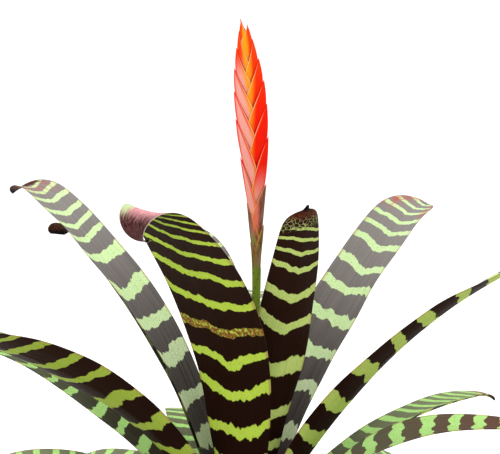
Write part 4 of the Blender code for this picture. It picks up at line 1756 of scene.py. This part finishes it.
@dataclass(frozen=True)
class MossBall:
    """The moss cover with its pile, and the soil inside it.

    Args:
        cushions: the pile's relief, each a height, a size, a seed and a number of waves.
    """

    radius: float = 0.065
    centre_z: float = 0.052
    lump: float = 0.0016
    neck_radius: float = 0.032
    thickness: float = 0.008
    clearance: float = 0.0004
    rows: int = 190
    inner_rows: int = 24
    columns: int = 260
    cushions: tuple[tuple[float, float, int, int], ...] = ((0.0010, 0.016, 3, 24), (0.0005, 0.005, 4, 30))
    dent_width: float = 0.0036
    dent_depth: float = 0.0016
    swell: float = 0.0008
    swell_span: Span = (0.004, 0.012)
    laid_lift: float = 0.0015
    path_block: int = 24
    pile_seed: int = 21
    pile_floor: float = 0.0006
    fuzz: int = 21000
    fuzz_seed: int = 11
    fuzz_from: float = 0.004
    fuzz_lean: float = 0.55
    fuzz_root: float = 0.0006
    fuzz_lengths: Span = (0.0016, 0.0042)
    fuzz_half_width: float = 0.00022
    fuzz_thickness: float = 0.00025
    fronds: int = 2600
    frond_seed: int = 12
    frond_from: float = 0.010
    frond_lengths: Span = (0.004, 0.0085)
    frond_rise: Span = (0.35, 0.9)
    frond_reach: float = 0.9
    leaflets: int = 7
    leaflet_aim: Triple = (0.7, 1.0, 0.25)
    leaflet_shares: Span = (0.42, 0.16)
    leaflet_half_width: float = 0.00032
    leaflet_thickness: float = 0.00018

    def centre(self) -> np.ndarray:
        """The ball's centre."""
        return np.array([0.0, 0.0, self.centre_z])

    def distance(self, polar: np.ndarray, around: np.ndarray) -> np.ndarray:
        """Distance from the centre to the moss: the radius and three waves, which fade at the poles.

        Args:
            polar: angles from straight up.
            around: angles round the axis.

        Returns:
            The distances.
        """
        lumps = (
            np.sin(3 * around + 1.1) * np.sin(2 * polar)
            + 0.7 * np.cos(5 * around - 2 * polar)
            + 0.5 * np.sin(7 * around + 4 * polar)
        )
        return self.radius + self.lump * lumps * np.sin(polar) ** 2

    def point(self, polar: np.ndarray, around: np.ndarray, inset: np.ndarray | float) -> np.ndarray:
        """Points on the ball, from polar to upright coordinates.

        Args:
            polar: angles from straight up.
            around: angles round the axis.
            inset: how far below the moss they are.

        Returns:
            The points.
        """
        out = self.distance(polar, around) - inset
        level = out * np.sin(polar)
        return stacked(level * np.cos(around), level * np.sin(around), self.centre_z + out * np.cos(polar))

    def surface(self, polar: np.ndarray, around: np.ndarray, path: np.ndarray) -> np.ndarray:
        """The pile's rough surface: cushions and grain, pressed in where the twine lies.

        Args:
            polar: angles from straight up.
            around: angles round the axis.
            path: points along the twine.

        Returns:
            Points, held on or above the flat.
        """
        smooth = self.point(polar, around, 0.0)
        relief = sum(height * ripple(smooth, *wave) for height, *wave in self.cushions)
        flat = smooth.reshape(-1, 3)
        nearest = np.full(len(flat), np.inf)
        for block in np.array_split(path, max(1, len(path) // self.path_block)):
            apart = np.linalg.norm(flat[:, None] - block[None], axis=-1)
            nearest = np.minimum(nearest, apart.min(1))
        nearest = nearest.reshape(polar.shape)
        pressed = self.dent_depth * np.exp(-((nearest / self.dent_width) ** 2))
        swollen = self.swell * ramp(*self.swell_span, nearest)
        made = self.point(polar, around, pressed - swollen - relief)
        made[..., 2] = np.maximum(made[..., 2], 0.0)
        return made

    def cover(self, path: np.ndarray) -> Shape:
        """The closed shell: under the ball, up its outside, over the neck and down its inside.

        Args:
            path: points along the twine.

        Returns:
            The closed shape.
        """
        around = np.linspace(0, FULL_TURN, self.columns, endpoint=False)
        neck = math.asin(self.neck_radius / self.radius)
        edge = math.acos(-self.centre_z / (self.radius - self.lump))
        inner_radius = self.radius - self.thickness
        inner_neck = math.asin(self.neck_radius / inner_radius)
        inner_edge = math.acos(-(self.centre_z - self.thickness) / (inner_radius - self.lump))
        outside = self.surface(*np.meshgrid(np.linspace(edge, neck, self.rows), around, indexing="ij"), path)
        inner_polar = np.linspace(inner_neck, inner_edge, self.inner_rows)
        inside = self.point(*np.meshgrid(inner_polar, around, indexing="ij"), self.thickness)
        inside[..., 2] = np.maximum(inside[..., 2], self.thickness)
        poles = np.array([[0.0, 0.0, 0.0], [0.0, 0.0, self.thickness]])
        return closed_rings(np.concatenate([outside, inside]), poles)

    def scatter(self, count: int, seed: int, lowest: float) -> tuple[np.ndarray, np.ndarray]:
        """Angles spread evenly and at random over the outside of the ball.

        Args:
            count: how many are tried.
            seed: which spread.
            lowest: the least height kept.

        Returns:
            Polar angles and angles round the axis.
        """
        rng = np.random.default_rng(seed)
        neck = math.asin(self.neck_radius / self.radius)
        height = rng.uniform(-1, math.cos(neck), count)
        around = rng.uniform(0, FULL_TURN, count)
        keep = self.centre_z + self.radius * height > lowest
        return np.arccos(height[keep]), around[keep]

    def pile(self, path: np.ndarray) -> tuple[Shape, Shape]:
        """The short fuzz, and the fronds: a bent stalk with leaflets on both sides.

        Args:
            path: points along the twine.

        Returns:
            The fuzz and the fronds.
        """
        rng = np.random.default_rng(self.pile_seed)
        roots = self.surface(*self.scatter(self.fuzz, self.fuzz_seed, self.fuzz_from), path)
        out = unit(roots - self.centre())
        lean = unit(out + rng.normal(0, self.fuzz_lean, out.shape))
        across = unit(np.cross(lean, rng.normal(size=out.shape)))
        roots = roots - out * self.fuzz_root
        tips = roots + lean * rng.uniform(*self.fuzz_lengths, (len(out), 1))
        through = np.cross(across, lean) * self.fuzz_thickness
        fuzz = spikes(roots, tips, across * self.fuzz_half_width, through)

        foot = self.surface(*self.scatter(self.fronds, self.frond_seed, self.frond_from), path)
        out = unit(foot - self.centre())
        drift = unit(np.cross(out, rng.normal(size=out.shape)))
        flat = unit(np.cross(out, drift))
        length = rng.uniform(*self.frond_lengths, (len(out), 1))
        start, arch = self.frond_rise
        forward, sideways, upward = self.leaflet_aim
        longest, shortest = self.leaflet_shares
        parts = []
        for share in (np.arange(self.leaflets) + 0.5) / self.leaflets:
            rise = drift * share + out * (start + arch * share * (1 - share))
            root = foot + length * rise * self.frond_reach
            for way in (-sideways, sideways):
                aim = unit(drift * forward + flat * way + out * upward)
                tip = root + aim * length * (longest - (longest - shortest) * share)
                across = unit(np.cross(aim, out)) * self.leaflet_half_width
                parts.append(spikes(root, tip, across, out * self.leaflet_thickness))
        fronds = Shape.joined(parts)
        for shape in (fuzz, fronds):
            shape.points[:, 2] = np.maximum(shape.points[:, 2], self.pile_floor)
        return fuzz, fronds

    def build(self, twine: Twine) -> None:
        """Makes the moss in place of its node, and gives the soil its finish.

        Args:
            twine: the twine that presses into it.
        """
        path, lift = twine.path(self)
        laid = path[lift < self.laid_lift]
        self.cover(laid).piece("moss_cover", MossFinish().build("moss"), "moss", "moss_cover")
        tips = MossFinish(pile=True).build("moss pile")
        for name, shape in zip(("moss_fuzz", "moss_fronds"), self.pile(laid)):
            shape.piece(name, tips, "moss")
        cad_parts["soil_ball"].material_slots[0].material = SoilFinish().build("soil")


# ---------------------------------------------------------------- studio


def looked_at(bench: Bench) -> Socket:
    """1 for a ray from the camera, or one seen in gloss or through glass."""
    rays = bench.add("ShaderNodeLightPath").outputs
    return reduce(partial(bench.math, "MAXIMUM"), [rays[f"Is {kind} Ray"] for kind in SEEING_RAYS])


@dataclass(frozen=True)
class FloorFinish(Finish):
    """A plain pale floor that is white to the eye, except in the object's shadow."""

    grey: float = 0.82
    glow: float = 0.58
    roughness: float = 0.9
    gloss: float = 0.1

    def feeds(self, bench: Bench) -> dict[str, Feed]:
        """What goes into the shader.

        Args:
            bench: the material's bench.

        Returns:
            A feed for each socket.
        """
        return {
            "Base Color": (self.grey,) * 3,
            "Emission Color": WHITE,
            "Emission Strength": bench.between(looked_at(bench), 0.0, self.glow),
        }


@dataclass(frozen=True)
class Studio:
    """A pale floor, soft light and the camera.

    Args:
        lamps: square soft lamps, each a name, a place, the length of a side and a power in watts.
        aim: the point that the lamps face.
    """

    distance: float = 1.30
    elevation: float = 10.0
    target: Triple = (0.0049, 0.0, 0.346)
    field_width: float = 0.350
    sensor: float = 36.0
    sight: float = 80.0
    floor_radius: float = 30.0
    floor_corners: int = 96
    world_strength: float = 0.62
    lamps: tuple[tuple[str, Triple, float, float], ...] = (
        ("key", (-1.5, -1.6, 1.7), 1.3, 26.0),
        ("overhead", (0.2, 0.3, 2.2), 1.6, 22.0),
        ("fill", (1.8, -1.2, 0.9), 1.2, 9.0),
    )
    aim: Triple = (0.0, 0.0, 0.30)

    def placed(self, name: str, data: bpy.types.ID, place: Triple, turn: Triple) -> bpy.types.Object:
        """Puts a lamp, the camera or the floor in the scene.

        Args:
            name: the object's name.
            data: its data.
            place: where it is.
            turn: its turns about X, Y and Z.

        Returns:
            The object.
        """
        made = bpy.data.objects.new(name, data)
        made.location, made.rotation_euler = place, turn
        bpy.context.scene.collection.objects.link(made)
        return made

    def camera(self) -> None:
        """A long lens, framed on the spike and the upper parts of the leaves."""
        data = bpy.data.cameras.new("camera")
        data.sensor_width = self.sensor
        data.lens = self.sensor * self.distance / self.field_width
        data.clip_end = self.sight
        rise = math.radians(self.elevation)
        x, y, z = self.target
        place = (x, y - self.distance * math.cos(rise), z + self.distance * math.sin(rise))
        bpy.context.scene.camera = self.placed("camera", data, place, (math.pi / 2 - rise, 0.0, 0.0))

    def world(self) -> None:
        """A plain pale surround, white where it is looked at."""
        world = bpy.data.worlds.new("surround")
        world.use_nodes = True
        bench = Bench(world.node_tree)
        strength = bench.between(looked_at(bench), self.world_strength, 1.0)
        bench.fill(world.node_tree.nodes["Background"], {"Color": WHITE, "Strength": strength})
        bpy.context.scene.world = world

    def floor(self) -> None:
        """A round pale floor that keeps the object's shadow and is otherwise white to the eye."""
        angle = np.linspace(0, FULL_TURN, self.floor_corners, endpoint=False)
        rim = stacked(np.cos(angle), np.sin(angle), 0.0) * self.floor_radius
        mesh = bpy.data.meshes.new("floor")
        mesh.from_pydata(rim.tolist(), [], [list(range(len(rim)))])
        mesh.materials.append(FloorFinish().build("floor"))
        floor = self.placed("floor", mesh, (0.0, 0.0, 0.0), (0.0, 0.0, 0.0))

    def light(self) -> None:
        """Square soft lamps, each turned so that it faces the aim."""
        for name, place, size, watts in self.lamps:
            data = bpy.data.lights.new(name, "AREA")
            data.size, data.energy = size, watts
            back = unit(np.subtract(place, self.aim))
            turn = (math.acos(back[2]), 0.0, math.atan2(back[1], back[0]) + math.pi / 2)
            self.placed(name, data, place, turn)

    def build(self) -> None:
        """Sets the stage."""
        self.camera()
        self.world()
        self.floor()
        self.light()
        bpy.context.scene.view_settings.view_transform = "Standard"


def main() -> None:
    """Builds the stage and every piece."""
    logging.basicConfig(level=logging.INFO, format="%(name)s: %(message)s")
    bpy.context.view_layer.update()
    Studio().build()
    ball, twine = MossBall(), Twine()
    ball.build(twine)
    twine.build(ball)
    Rosette().build()
    Flower().build()


if __name__ == "__main__":
    main()
